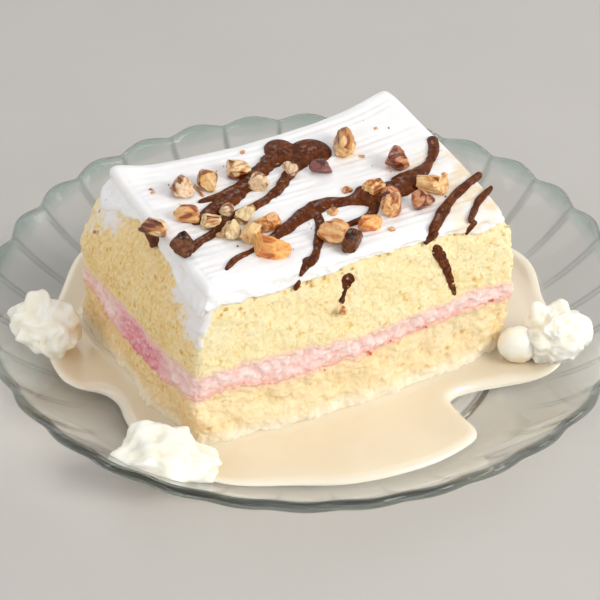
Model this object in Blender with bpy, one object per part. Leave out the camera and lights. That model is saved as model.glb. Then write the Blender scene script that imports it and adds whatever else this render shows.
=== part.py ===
"""A slice of tres leches cake on its scalloped clear glass plate.

The slice has two layers of soaked sponge with a pink cream filling between them, a
slab of combed white icing with chocolate drizzle, and chopped pecans.  It stands in a
shallow pool of sweet milk with three spoonfuls and a ball of whipped cream around it.

Frame: +X runs along the long cut face to the right, +Y to the back, +Z up.  The origin
is the middle of the plate's foot, on the table.  All sizes are in millimetres, and
make_piece() turns them into metres.
"""

import math

import bmesh
import bpy
from mathutils import Matrix, Vector, noise

METRES_PER_MM = 0.001
GAP = 0.3                      # left between pieces that touch

# Plate: a foot, a flat floor, and a wall of petals that rises as a parabola to the rim.
PETALS = 32
PETAL_STEPS = 3                # flat faces across one petal
PETAL_DEPTH = 2.0              # how far a petal's middle stands out past its ends
PETAL_RISE = 1.15              # how far it stands above them
PETAL_START_RADIUS = 73.0
PETAL_FACES_RADIUS = 79.0      # from here out the rings have points for the petals
PETAL_TURN = math.radians(2.5)
RIM_RADIUS = 99.5              # middle of the glass where two petals meet
RIM_HEIGHT = 22.2
WALL_START_RADIUS = 64.0
WALL_STEPS = 5
FLOOR_HEIGHT = 3.2             # middle of the glass over the foot
GLASS = 3.0
FOOT_INNER_RADIUS = 56.0
FOOT_RADIUS = 61.0
FOOT_EDGE = 1.5

# Slice: its corners, front left first and anticlockwise, at five heights.
CAKE_HEIGHTS = (5.0, 22.0, 38.0, 51.0, 58.0)
CORNERS = (
    ((-54.8, -37.2), (-54.8, -36.4), (-52.4, -34.6), (-48.6, -32.6), (-46.0, -30.6)),
    ((51.6, -33.6), (54.6, -34.2), (56.6, -33.8), (55.0, -33.0), (50.2, -31.2)),
    ((52.0, 41.5), (51.5, 41.8), (50.0, 41.8), (48.6, 41.6), (48.0, 41.4)),
    ((-63.2, 38.5), (-60.5, 39.0), (-61.5, 39.2), (-55.6, 39.2), (-48.4, 39.0)),
)
SWELLS = (                     # how far the middle of each side stands out
    (5.8, 2.6, 1.4, 0.5, 0.3),
    (1.0, 2.0, 2.5, 2.4, 2.2),
    (2.5, 0.0, -3.0, -5.0, -5.6),
    (0.8, 1.6, 1.0, 0.2, 0.3),
)
OUTWARD = ((0, -1), (1, 0), (0, 1), (-1, 0))
COLUMNS = (18, 12, 18, 12)     # faces along each side of the sponge
CAKE_BOTTOM = 5.0
SPONGE_TOP = 57.2
POOL_FOOT = 3.1                # height of the slice's upright foot, in the milk
INSET_SHARE = 0.8              # inner ring of a wavy face, past which the face is flat
CORNER_KEPT = 0.4              # share of a sharp corner that its rounding leaves

# Filling: heights of its lower and upper edge around the slice.  A place on the edge is
# the number of the side plus the share of the way along it.
FILLING_EDGES = (
    (0.00, 24.5, 31.0), (0.10, 27.0, 32.3), (0.25, 24.2, 32.4), (0.50, 25.2, 30.8),
    (0.70, 27.6, 32.2), (0.85, 28.8, 34.0), (1.00, 27.2, 32.0), (1.50, 26.0, 31.5),
    (2.00, 25.5, 31.0), (2.50, 26.5, 32.0), (3.00, 23.2, 28.2), (3.40, 20.9, 31.6),
    (3.70, 21.6, 30.2),
)
FILLING_FLOOR = 25.4
FILLING_CEILING = 31.4

# Sponge crumb: lumps all over, and a few deep soaked pits and ledges.
CRUMB_SIZE = 6.5
FINE_CRUMB = 0.45              # size of the finer lumps as a share of the coarse ones
CRUMB_RELIEF = {"lower": 1.1, "filling": 0.8, "upper": 0.6}
SMOOTH_UNDER_ICING = 1.5       # the relief ends this far below the icing's edge
RELIEF_FADE = 3.0
LOWER_ROWS = 5                 # rows of faces up the side of each layer
FILLING_ROWS = 2
UPPER_ROWS = 6
SOAKED_MARKS = (               # x, y, z, radius, depth (a ledge stands out: below nought)
    (-33.0, -40.0, 19.5, 4.0, 1.6), (-6.0, -40.5, 14.0, 5.0, 2.0),
    (-14.0, -40.0, 20.0, 3.5, 1.2), (17.0, -39.0, 12.5, 4.5, 1.3),
    (23.0, -37.0, 19.0, 3.5, 1.2), (-59.0, -10.0, 8.0, 6.5, -2.2),
)

# Icing: a slab over the sponge, combed along X, that hangs over the edges.
ICING_COLUMNS = 10
ICING_ROWS = 34
ICING_HEIGHT = 60.7
COMB_RELIEF = 0.45
ICING_PROUD = 1.4              # outside the sponge
ICING_CLEAR = 0.45             # between the sponge and the icing that hangs past it
ICING_SHOULDER = 2.4           # rounding of its top edge
HANG_LIP = 0.2                 # rounding of its lower edge
ICING_WAVE = 0.3
ICING_WAVE_LENGTH = 30.0
CORNER_LIFTS = ((-48.0, 39.0, 7.0, 1.8), (49.0, 41.0, 15.0, 2.2))   # x, y, radius, height
GROOVE = 1.6                   # depth of a comb mark, in units of the relief
GROOVE_CHANGE = 0.6
GROOVE_LENGTH = 25.0           # distance along a comb mark over which its depth changes
GROOVE_APART = 1.7             # from one comb mark to the next in the noise
HANG_EDGE = (                  # place, height of the lower edge
    (0.00, 50.5), (0.06, 53.0), (0.35, 54.0), (0.50, 56.2), (0.76, 56.9), (0.85, 55.5),
    (0.90, 53.6), (1.00, 55.0), (1.30, 56.0), (1.70, 55.4), (2.00, 54.6), (2.50, 55.6),
    (3.00, 53.2), (3.07, 50.2), (3.20, 53.5), (3.35, 56.2), (3.50, 56.8), (3.62, 55.0),
    (3.75, 52.0), (3.85, 49.4), (3.94, 48.4),
)

# Chocolate drizzle on the icing: each stroke's route (x, y, width).
DRIZZLE_RISE = 1.7
DRIZZLE_STEP = 6.0
STROKES = {
    "long_back": ((1, 23, 7), (-3, 21, 6), (-9, 17, 5), (-16, 13, 4.5), (-23, 11, 3.5),
                  (-32, 10.5, 1.6)),
    "rope": ((-12.5, 14.5, 3), (-16, 12, 5), (-21, 8.5, 5.5), (-27, 5.5, 5.5), (-33, 3, 5),
             (-38, 1, 2.5)),
    "looped": ((8, 18, 6), (3, 15, 4.5), (-2, 11, 3.5), (-6, 7, 3), (-13, 3, 2.8),
               (-20, 0.5, 3.5), (-28, -1.5, 3.6), (-34, -6, 3), (-40, -8.5, 2.6),
               (-44.5, -12.5, 1.6)),
    "long_front": ((-38.5, -25, 1.4), (-33.5, -21, 2.2), (-26.5, -19, 2.2), (-18, -15.5, 3),
                   (-11, -12, 4.5), (-4, -8.5, 5), (3, -6.5, 5), (10, -8.5, 4.2),
                   (16, -9, 9), (22, -8.8, 7.6), (28, -9, 8), (33, -5.5, 7), (39, -3, 3.6),
                   (44.5, 2, 2.8), (48, 7, 3), (50, 12.5, 3)),
    "branch": ((-1, -9, 3), (-3, -16, 2.8), (-7, -23, 2.8), (-10.5, -28.5, 2.4),
               (-14.5, -32.6, 1.4)),
    "twig": ((17, -13, 3.2), (14, -17, 2.6), (8.5, -19, 2.2), (3, -19.6, 2.2)),
    "right": ((54.6, -12, 2), (46.5, -16.5, 2.8), (38, -22, 3.2), (30, -29.5, 2.8),
              (24.5, -33, 1.2)),
    "right_thin": ((54.2, -20, 1.2), (47.5, -24.5, 2.4), (42, -30, 1.8), (38.5, -33, 1)),
}
STROKE_SECTION = (             # across in widths, up in rises (below nought: sunk in, in mm)
    (-0.5, -1.0), (0.5, -1.0), (0.5, 0.25), (0.27, 1.0), (-0.27, 1.0), (-0.5, 0.25),
)
STROKE_END = 0.55              # height of a stroke's end against its middle
THIN_RISE = 0.45               # height of a stroke with no width against a full one
FULL_WIDTH = 8.0
CURVE_STEPS = 12               # fine steps between two named points of a curve
BLOBS = ((3.5, 25.0, 4.4, 6.4, 2.6), (11.0, 20.8, 6.2, 7.0, 2.8))   # x, y, half sizes
BLOB_SINK = 0.8
BLOB_FACES = (10, 5)           # around and up
FRONT_DRIPS = (                # on the long cut face: (x, z, width)
    ((27.6, 54.6, 2.6), (29.6, 50.0, 2.8), (31.4, 45.6, 2.0), (34.0, 35.6, 1.2)),
    ((-1.4, 53.6, 3.4), (-2.2, 51.0, 3.2), (-3.2, 47.8, 1.4), (-4.4, 44.6, 2.2)),
)
DRIP_RISE = 0.9
DRIP_STEP = 3.0
CRUMB_BITS = (                 # x, y, half size
    (2.0, -14.8, 1.7), (10.5, -4.6, 1.4), (-36.5, -14.6, 1.4), (-37, 11, 1.0), (44, -8, 1.0),
    (25, 12, 0.9), (-42, 22, 0.9), (-8, 30, 0.9), (36, 24, 0.9), (15.6, -27.4, 1.2),
)
BIT_FLATNESS = 0.8
BIT_SHOWS = 0.3                # height of a bit's middle above the icing, in half sizes
BIT_FACES = (5, 4)

# Chopped pecans: x, y, length, width, height and the turn of the long side in degrees.
PECANS = (
    (-34.3, 17.6, 8.0, 6.0, 5.6, -80), (-25.3, 17.4, 6.6, 6.0, 5.8, 60),
    (-14.2, 19.6, 7.0, 6.4, 6.0, 10), (-11.6, 10.4, 5.8, 5.6, 5.0, 30),
    (0.8, 13.4, 5.4, 4.2, 4.0, 70), (9.4, 9.2, 6.2, 4.6, 4.4, -20),
    (-38.3, 4.2, 7.2, 5.0, 4.8, -35), (-50.2, 1.9, 8.6, 6.4, 5.8, -50),
    (-46.4, -10.4, 9.2, 6.0, 6.2, 75), (-26.4, 0.8, 4.8, 4.0, 3.6, 20),
    (-22.4, -3.4, 6.0, 5.4, 5.0, 50), (-17.8, -9.6, 7.0, 5.4, 5.0, 15),
    (-32.8, -2.4, 6.0, 4.2, 3.6, -15), (-29.8, -9.4, 6.0, 5.4, 4.8, 65),
    (-24.8, -13.8, 5.8, 5.8, 6.4, 40), (-22.6, -22.2, 10.6, 6.4, 6.2, -52),
    (21.5, 17.0, 11.0, 6.0, 6.0, 65), (32.6, 2.8, 7.4, 7.0, 6.0, 0),
    (18.6, -8.2, 6.6, 5.0, 5.0, 20), (22.6, -12.4, 6.0, 4.8, 4.4, -50),
    (19.8, -18.6, 6.4, 5.5, 5.4, 60), (35.8, -13.8, 8.6, 7.2, 6.4, -55),
    (29.4, -19.9, 6.6, 5.8, 5.0, 10), (10.2, -24.0, 6.8, 4.6, 4.2, -25),
    (-2.2, -25.0, 8.2, 6.8, 6.2, -60), (1.0, -30.3, 7.2, 5.0, 5.2, 50),
)
PECAN_JITTER = 0.32            # share of its half size by which a broken piece is uneven
PECAN_GRAIN = 1.7              # lumps of that unevenness across a half size
PECAN_APART = 7.3              # from one pecan to the next in the noise
PECAN_AXIS_APART = 5.1
PECAN_ROUNDING = 0.62          # from a block, at nought, to a ball, at one
PECAN_BALL = 1.25
PECAN_CREASE = 0.22            # depth of the crease along its top, in half heights
PECAN_STANDS = 0.42            # height of its middle, in heights

# Milk: the pool's outer edge (angle from +X in degrees, radius), and its depths.
POOL_EDGE = (
    (-134, 77.5), (-119, 72.4), (-104, 73.0), (-86, 73.4), (-73, 73.2), (-67.5, 70.5),
    (-65.0, 62.5), (-61, 55.0), (-54, 57.5), (-46.5, 67.0), (-41, 80.5), (-32, 83.0),
    (-14, 79.0), (5, 81.5), (40, 79.0), (75, 75.0), (105, 78.0), (125, 84.0), (142, 82.0),
    (160, 83.0), (171, 81.5), (175.5, 78.0), (178.5, 70.0), (184, 67.4), (191, 69.5),
    (199, 72.0), (214, 76.0),
)
POOL_LEVEL = 7.6
MILK_FILM = 1.5
POOL_CLEAR = 0.1               # extra room round what stands in the milk
POOL_SHARES = (0.5, 0.88, 0.965)   # rings of the pool's top between slice and edge
POOL_UNDER_SHARES = (0.0, 0.5, 0.97)

# Whipped cream: middle, half sizes across, along and up the view, and lobes as
# (turn, tilt, extra length, width) in degrees and shares.
VIEW_TURN = math.radians(-25.4)
CREAM_FACES = (20, 9)          # around and up
CREAM_RIPPLE = 0.24
CREAM_FOLDS = 2.4              # lumps of the ripple across a half size
CREAM_CLEAR = 1.2              # room between the cream and the slice
CREAMS = {
    "cream_left": ((-79.0, 28.4, 14.5), (10.0, 8.8, 8.2), (
        (205, 5, 0.14, 0.25), (150, 30, 0.20, 0.12), (95, 62, 0.38, 0.05),
        (20, 25, 0.15, 0.25), (-60, -5, 0.10, 0.30), (262, 10, -0.14, 0.12),
        (118, 70, 0.30, 0.02))),
    "cream_front": ((-69.0, -44.3, 12.0), (13.0, 8.6, 8.4), (
        (180, 0, 0.18, 0.10), (215, -5, 0.28, 0.10), (118, 52, 0.50, 0.05),
        (66, 58, 0.40, 0.06), (0, 5, 0.12, 0.20), (-62, 0, 0.14, 0.14),
        (255, 12, -0.18, 0.10), (92, 60, -0.16, 0.04), (-18, -12, 0.18, 0.05))),
    "cream_right": ((66.2, -44.2, 15.0), (8.8, 8.4, 8.6), (
        (12, 22, 0.24, 0.06), (150, 48, 0.34, 0.06), (68, 52, 0.22, 0.08),
        (190, -6, 0.18, 0.12), (-40, -8, 0.14, 0.20), (255, 10, -0.14, 0.08),
        (40, 40, -0.12, 0.04))),
    "cream_ball": ((55.0, -40.6, 13.0), (6.5, 5.3, 6.1), ((200, 10, 0.06, 0.5),)),
}
HALVINGS = 20                  # steps of a search by halving


class Shell:
    """Points and faces of one closed piece, put together ring by ring."""

    def __init__(self):
        self.points = []
        self.faces = []

    def ring(self, points):
        first = len(self.points)
        self.points.extend(points)
        return list(range(first, len(self.points)))

    def band(self, start, end, mirrored=False):
        """Skin from one anticlockwise ring to the next, facing out of the piece.

        One ring may have a whole number of times the other's points.  Mirrored splits
        each face the other way, as the neighbour's skin does.
        """
        steps = max(len(start), len(end))
        for i in range(steps):
            low, low_next = (start[k * len(start) // steps % len(start)] for k in (i, i + 1))
            high, high_next = (end[k * len(end) // steps % len(end)] for k in (i, i + 1))
            if mirrored:
                corners = ((low, low_next, high), (low_next, high_next, high))
            else:
                corners = ((low, low_next, high_next), (low, high_next, high))
            self.faces.extend(face for face in corners if len(set(face)) == 3)

    def fan(self, ring, middle, up):
        """Closes a ring with triangles to a middle point."""
        tip = self.ring([middle])[0]
        for i, point in enumerate(ring):
            following = ring[(i + 1) % len(ring)]
            self.faces.append((point, following, tip) if up else (following, point, tip))

    def lid(self, ring, up):
        """Closes a flat ring with one face."""
        self.faces.append(tuple(ring) if up else tuple(reversed(ring)))


def material(name, colour, roughness, alpha=1.0):
    """A Principled finish with the part's colour and roughness."""
    finish = bpy.data.materials.new(name)
    finish.use_nodes = True
    shader = finish.node_tree.nodes["Principled BSDF"]
    shader.inputs["Base Color"].default_value = (*colour, 1.0)
    shader.inputs["Roughness"].default_value = roughness
    shader.inputs["Metallic"].default_value = 0.0
    shader.inputs["Alpha"].default_value = alpha
    return finish


def make_piece(name, shell, finish, smooth_angle=35.0):
    """Turns a shell in millimetres into an object in metres."""
    mesh = bpy.data.meshes.new(name)
    mesh.from_pydata([Vector(p) * METRES_PER_MM for p in shell.points], [], shell.faces)
    mesh.shade_smooth()
    mesh.set_sharp_from_angle(angle=math.radians(smooth_angle))
    mesh.materials.append(finish)
    piece = bpy.data.objects.new(name, mesh)
    bpy.context.scene.collection.objects.link(piece)
    return piece


def apply_modifiers(piece):
    """Keeps what the modifiers make of a piece as its own mesh."""
    graph = bpy.context.evaluated_depsgraph_get()
    mesh = bpy.data.meshes.new_from_object(piece.evaluated_get(graph))
    piece.modifiers.clear()
    piece.data = mesh


def join(piece, others):
    """Fuses a piece with a collection of others, which are then removed."""
    group = bpy.data.collections.new("others")
    bpy.context.scene.collection.children.link(group)
    for other in others:
        bpy.context.scene.collection.objects.unlink(other)
        group.objects.link(other)
    union = piece.modifiers.new("union", "BOOLEAN")
    union.operation = "UNION"
    union.operand_type = "COLLECTION"
    union.collection = group
    apply_modifiers(piece)
    for other in others:
        bpy.data.objects.remove(other)
    bpy.data.collections.remove(group)


def bounds(piece):
    """Lowest and highest corner of a piece, in metres."""
    points = [vert.co for vert in piece.data.vertices]
    return [[pick(p[axis] for p in points) for axis in range(3)] for pick in (min, max)]


def cut_clear(piece, cutters):
    """Cuts a piece by the cutters that reach it, and removes them all."""
    low, high = bounds(piece)
    for cutter in cutters:
        cutter_low, cutter_high = bounds(cutter)
        if all(low[k] < cutter_high[k] and cutter_low[k] < high[k] for k in range(3)):
            cut = piece.modifiers.new("cut", "BOOLEAN")
            cut.operation = "DIFFERENCE"
            cut.object = cutter
            apply_modifiers(piece)
        bpy.data.objects.remove(cutter)


def between(low, high, share):
    return low + (high - low) * share


def read_curve(stops, place):
    """Value at a place of a list of (place, value), with soft bends between them."""
    if place <= stops[0][0]:
        return stops[0][1]
    for (start, low), (end, high) in zip(stops, stops[1:]):
        if place <= end:
            share = (place - start) / (end - start)
            return between(low, high, share * share * (3 - 2 * share))
    return stops[-1][1]


def read_line(points, place):
    """Value at a place on straight runs between points."""
    if place <= points[0][0]:
        return points[0][1]
    for (start, low), (end, high) in zip(points, points[1:]):
        if place <= end:
            return between(low, high, (place - start) / (end - start))
    return points[-1][1]


def read_edge(stops, place, column=1):
    """Value at a place around the slice, where the list closes on itself."""
    closed = [(stop[0], stop[column]) for stop in stops]
    closed.append((4.0, closed[0][1]))
    return read_curve(closed, place % 4.0)


def polar(radius, angle, height):
    return (radius * math.cos(angle), radius * math.sin(angle), height)


def direction(turn, tilt):
    """Unit vector at a turn about +Z and a tilt above level, in radians."""
    return Vector((*polar(math.cos(tilt), turn, 0.0)[:2], math.sin(tilt)))


def curve_point(before, start, end, after, share):
    """Point between start and end on a smooth curve through four points."""
    squared, cubed = share * share, share ** 3
    return 0.5 * (2 * start + (end - before) * share
                  + (2 * before - 5 * start + 4 * end - after) * squared
                  + (3 * start - before - 3 * end + after) * cubed)


def last_share(holds):
    """Largest share up to one for which a test still holds, by halving."""
    if holds(1.0):
        return 1.0
    low, high = 0.0, 1.0
    for _ in range(HALVINGS):
        share = (low + high) / 2
        low, high = (share, high) if holds(share) else (low, share)
    return low


# Plate


def wall_point(share, offset, past=0.0):
    """Radius and height on the plate's wall at a share of the way out to the rim.

    Offset is measured up from the middle of the glass, and past along the wall.
    """
    run, rise = RIM_RADIUS - WALL_START_RADIUS, 2.0 * share * (RIM_HEIGHT - FLOOR_HEIGHT)
    length = math.hypot(run, rise)
    radius = between(WALL_START_RADIUS, RIM_RADIUS, share)
    height = between(FLOOR_HEIGHT, RIM_HEIGHT, share * share)
    return (radius + (run * past - rise * offset) / length,
            height + (rise * past + run * offset) / length)


def wall_profile(offset):
    """Points of the wall from the floor to the rim."""
    return [wall_point(i / WALL_STEPS, offset) for i in range(WALL_STEPS + 1)]


def floor_height(radius):
    """Height of the glass under food that lies at this distance from the middle."""
    return read_line(wall_profile(GLASS / 2), radius)


def petal_crown(radius, angle):
    """One at a petal's middle at the rim, nought at its ends and where the petals start."""
    share = (angle - PETAL_TURN) / (2 * math.pi / PETALS) % 1.0
    crown = 1.0 - (2.0 * share - 1.0) ** 2
    grown = min(max((radius - PETAL_START_RADIUS) / (RIM_RADIUS - PETAL_START_RADIUS), 0.0), 1.0)
    return crown * grown * grown * (3 - 2 * grown)


def plate_ring(radius, height):
    """A ring of the plate, with fewer points where it has no petals."""
    count = PETALS * (PETAL_STEPS if radius > PETAL_FACES_RADIUS else 1)
    ring = []
    for i in range(count):
        angle = 2 * math.pi * i / count + PETAL_TURN
        crown = petal_crown(radius, angle)
        ring.append(polar(radius + PETAL_DEPTH * crown, angle, height + PETAL_RISE * crown))
    return ring


def make_plate(finish):
    under, upper = wall_profile(-GLASS / 2), wall_profile(GLASS / 2)
    under_floor = FLOOR_HEIGHT - GLASS / 2
    profile = [(FOOT_INNER_RADIUS, under_floor), (FOOT_INNER_RADIUS + FOOT_EDGE, 0.0),
               (FOOT_RADIUS, 0.0), (FOOT_RADIUS + FOOT_EDGE, under_floor)]
    profile += under[1:] + [wall_point(1.0, 0.0, past=GLASS / 2)] + upper[::-1]

    plate = Shell()
    rings = [plate.ring(plate_ring(radius, height)) for radius, height in profile]
    plate.lid(rings[0], up=False)
    for start, end in zip(rings, rings[1:]):
        plate.band(start, end)
    plate.lid(rings[-1], up=True)
    return make_piece("plate", plate, finish)


# Slice


def corner(side, height, grow):
    """Corner of the slice at the start of a side, moved out on both sides by grow."""
    side %= 4
    xs = list(zip(CAKE_HEIGHTS, (point[0] for point in CORNERS[side])))
    ys = list(zip(CAKE_HEIGHTS, (point[1] for point in CORNERS[side])))
    before, after = OUTWARD[side - 1], OUTWARD[side]
    return (read_line(xs, height) + grow * (before[0] + after[0]),
            read_line(ys, height) + grow * (before[1] + after[1]))


def outline(place, height, grow=0.0):
    """Point on the slice's smooth outline at a place around it."""
    side = int(place) % 4
    share = place - int(place)
    start, end = corner(side, height, grow), corner(side + 1, height, grow)
    swell = read_line(list(zip(CAKE_HEIGHTS, SWELLS[side])), height) * 4 * share * (1 - share)
    return (between(start[0], end[0], share) + OUTWARD[side][0] * swell,
            between(start[1], end[1], share) + OUTWARD[side][1] * swell)


def places(columns):
    """Places around the slice, with this many faces on each side."""
    return [side + i / count for side, count in enumerate(columns) for i in range(count)]


def rounded(points, columns):
    """Takes the sharp corners off a ring of points."""
    soft = list(points)
    index = 0
    for count in columns:
        before, after = Vector(points[index - 1]), Vector(points[(index + 1) % len(points)])
        soft[index] = tuple(Vector(points[index]).lerp((before + after) / 2, 1 - CORNER_KEPT))
        index += count
    return soft


def crumb(x, y, z, strength):
    """How far the crumb stands out at a point of the cut faces."""
    rough = noise.noise(Vector((x, y, z)) / CRUMB_SIZE)
    rough += 0.5 * noise.noise(Vector((x, y, z)) / (CRUMB_SIZE * FINE_CRUMB))
    out = strength * rough
    for mark_x, mark_y, mark_z, radius, depth in SOAKED_MARKS:
        distance = math.dist((x, y, z), (mark_x, mark_y, mark_z)) / radius
        out -= depth * math.exp(-distance * distance)
    return out


def crumb_ring(height_at, strength, fade=None):
    """A ring around the slice with crumb relief, at a height for each place."""
    points = []
    for place in places(COLUMNS):
        height = height_at(place)
        x, y = outline(place, height)
        out = crumb(x, y, height, strength)
        if fade:
            out *= fade(place, height)
        points.append((*outline(place, height, out), height))
    return rounded(points, COLUMNS)


def raised(ring, rise):
    return [(x, y, z + rise) for x, y, z in ring]


def inner_ring(ring, height):
    """A smaller flat copy of a ring."""
    middle_x = sum(p[0] for p in ring) / len(ring)
    middle_y = sum(p[1] for p in ring) / len(ring)
    return [(between(middle_x, p[0], INSET_SHARE), between(middle_y, p[1], INSET_SHARE), height)
            for p in ring]


def foot_ring(grow):
    """Where the slice stands on the glass, with its crumb, moved out by grow."""
    points = []
    for place in places(COLUMNS):
        x, y = outline(place, CAKE_BOTTOM)
        out = crumb(x, y, CAKE_BOTTOM, CRUMB_RELIEF["lower"])
        x, y = outline(place, CAKE_BOTTOM, out + grow)
        points.append((x, y, floor_height(math.hypot(x, y)) + GAP))
    return rounded(points, COLUMNS)


def make_layer(piece_name, low, high, flats, rows, relief, finish, fade=None, upright=0.0):
    """A layer that runs through the slice, between two wavy edge rings."""
    rings = [inner_ring(low, flats[0]), low]
    if upright:
        low = raised(low, upright)
        rings.append(low)
    spots = places(COLUMNS)
    low_at = {place: point[2] for place, point in zip(spots, low)}
    high_at = {place: point[2] for place, point in zip(spots, high)}
    for row in range(1, rows):
        share = row / rows
        rings.append(crumb_ring(lambda p: between(low_at[p], high_at[p], share), relief, fade))
    rings.append(high)
    layer = Shell()
    numbers = [layer.ring(points) for points in rings]
    layer.lid(numbers[0], up=False)
    for start, end in zip(numbers, numbers[1:]):
        layer.band(start, end)
    top = layer.ring(inner_ring(high, flats[1]))
    layer.band(numbers[-1], top, mirrored=True)
    layer.lid(top, up=True)
    return make_piece(piece_name, layer, finish)


def under_icing(place, height):
    """Nought where the icing hangs over the sponge, one below it."""
    clear = read_edge(HANG_EDGE, place) - SMOOTH_UNDER_ICING - height
    return min(max(clear / RELIEF_FADE, 0.0), 1.0)


def make_sponges(finish_lower, finish_filling, finish_upper):
    """The three layers, each GAP away from the next, and returns the upper sponge."""
    half = GAP / 2
    relief = CRUMB_RELIEF
    floor = crumb_ring(lambda p: read_edge(FILLING_EDGES, p, 1), relief["filling"])
    ceiling = crumb_ring(lambda p: read_edge(FILLING_EDGES, p, 2), relief["filling"])
    top = crumb_ring(lambda p: SPONGE_TOP, 0.0)
    make_layer("sponge_lower", foot_ring(0.0), raised(floor, -half),
               (CAKE_BOTTOM, FILLING_FLOOR - half), LOWER_ROWS, relief["lower"], finish_lower,
               upright=POOL_FOOT)
    make_layer("filling", raised(floor, half), raised(ceiling, -half),
               (FILLING_FLOOR + half, FILLING_CEILING - half), FILLING_ROWS,
               relief["filling"], finish_filling)
    return make_layer("sponge_upper", raised(ceiling, half), top,
                      (FILLING_CEILING + half, SPONGE_TOP), UPPER_ROWS, relief["upper"],
                      finish_upper, under_icing)


# Icing


def icing_height(x, y):
    """Crest of the icing, without the comb's grooves."""
    wave = noise.noise(Vector((x, y, 0)) / ICING_WAVE_LENGTH)
    height = ICING_HEIGHT + COMB_RELIEF + ICING_WAVE * wave
    for lift_x, lift_y, radius, lift in CORNER_LIFTS:
        distance = math.dist((x, y), (lift_x, lift_y)) / radius
        height += lift * math.exp(-distance * distance)
    return height


def icing_ring(height_at, grow):
    """A ring around the slice for the icing's sides."""
    columns = (ICING_COLUMNS, ICING_ROWS, ICING_COLUMNS, ICING_ROWS)
    points = []
    for place in places(columns):
        height = height_at(place)
        points.append((*outline(place, height, grow), height))
    return rounded(points, columns)


def comb_groove(row, x):
    """Depth of the comb's mark on a row of the icing's top."""
    if row % 2 == 0:
        return 0.0
    change = noise.noise(Vector((x / GROOVE_LENGTH, row * GROOVE_APART, 0)))
    return COMB_RELIEF * (GROOVE + GROOVE_CHANGE * change)


def icing_top(shell, edge):
    """Fills the ring at the top edge with rows of combed icing."""
    columns, rows = ICING_COLUMNS, ICING_ROWS
    front = edge[:columns + 1]
    right = edge[columns:columns + rows + 1]
    back = edge[columns + rows:2 * columns + rows + 1][::-1]
    left = (edge[2 * columns + rows:] + edge[:1])[::-1]
    grid = [[None] * (rows + 1) for _ in range(columns + 1)]
    for i in range(columns + 1):
        for j in range(rows + 1):
            on_edge = {0: left[j], columns: right[j]}.get(i) or {0: front[i], rows: back[i]}.get(j)
            if on_edge is not None:
                grid[i][j] = on_edge
                continue
            u, v = i / columns, j / rows
            points = [Vector(shell.points[k]) for k in
                      (left[j], right[j], front[i], back[i], front[0], front[-1], back[0], back[-1])]
            inside = (points[0] * (1 - u) + points[1] * u + points[2] * (1 - v) + points[3] * v
                      - (points[4] * (1 - u) + points[5] * u) * (1 - v)
                      - (points[6] * (1 - u) + points[7] * u) * v)
            height = icing_height(inside.x, inside.y) - comb_groove(j, inside.x)
            grid[i][j] = shell.ring([(inside.x, inside.y, height)])[0]
    for i in range(columns):
        for j in range(rows):
            a, b = grid[i][j], grid[i + 1][j]
            c, d = grid[i + 1][j + 1], grid[i][j + 1]
            shell.faces.append((a, b, c))
            shell.faces.append((a, c, d))


def make_icing(finish, toppings):
    icing = Shell()
    ceiling = SPONGE_TOP + GAP
    rings = [
        icing_ring(lambda p: ceiling, ICING_CLEAR),
        icing_ring(lambda p: between(ceiling, read_edge(HANG_EDGE, p), 0.5), ICING_CLEAR),
        icing_ring(lambda p: read_edge(HANG_EDGE, p), ICING_CLEAR),
        icing_ring(lambda p: read_edge(HANG_EDGE, p) + HANG_LIP, ICING_PROUD - HANG_LIP),
        icing_ring(lambda p: between(ceiling, read_edge(HANG_EDGE, p), 0.5), ICING_PROUD),
        icing_ring(lambda p: ICING_HEIGHT - ICING_SHOULDER, ICING_PROUD),
        icing_ring(lambda p: ICING_HEIGHT, ICING_PROUD - ICING_SHOULDER),
    ]
    rings[-1] = [(x, y, icing_height(x, y) - COMB_RELIEF) for x, y, _ in rings[-1]]
    numbers = [icing.ring(points) for points in rings]
    icing.lid(numbers[0], up=False)
    for start, end in zip(numbers, numbers[1:]):
        icing.band(start, end)
    icing_top(icing, numbers[-1])
    piece = make_piece("icing", icing, finish)
    join(piece, toppings)
    return piece


# Drizzle


def smooth_route(points, step):
    """Even steps along a smooth curve through the points, with all their values."""
    points = [Vector(p) for p in points]
    ends = [2 * points[0] - points[1]] + points + [2 * points[-1] - points[-2]]
    fine = []
    for run in zip(ends, ends[1:], ends[2:], ends[3:]):
        fine.extend(curve_point(*run, i / CURVE_STEPS) for i in range(CURVE_STEPS))
    fine.append(points[-1])
    lengths = [0.0]
    for start, end in zip(fine, fine[1:]):
        lengths.append(lengths[-1] + (end.xy - start.xy).length)
    count = max(2, round(lengths[-1] / step))
    goals = [lengths[-1] * i / count for i in range(count)]
    return [fine[next(n for n, length in enumerate(lengths) if length >= goal)]
            for goal in goals] + [points[-1]]


def rope(route, rise, grow, place_at):
    """A stroke of chocolate; place_at turns a spot and a height into a point."""
    stroke = Shell()
    rings = []
    for i, here in enumerate(route):
        before, after = route[max(i - 1, 0)], route[min(i + 1, len(route) - 1)]
        along = (after.xy - before.xy).normalized()
        across = Vector((-along.y, along.x))
        width = here.z + 2 * grow
        at_end = i in (0, len(route) - 1)
        tall = rise * min(1.0, THIN_RISE + here.z / FULL_WIDTH)
        tall = tall * (STROKE_END if at_end else 1.0) + grow
        middle = here.xy + along * (grow if i else -grow)
        rings.append(stroke.ring([
            place_at(middle + across * (width * side), tall * up if up > 0 else up)
            for side, up in STROKE_SECTION]))
    stroke.lid(rings[0], up=False)
    for start, end in zip(rings, rings[1:]):
        stroke.band(start, end)
    stroke.lid(rings[-1], up=True)
    return stroke


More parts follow.
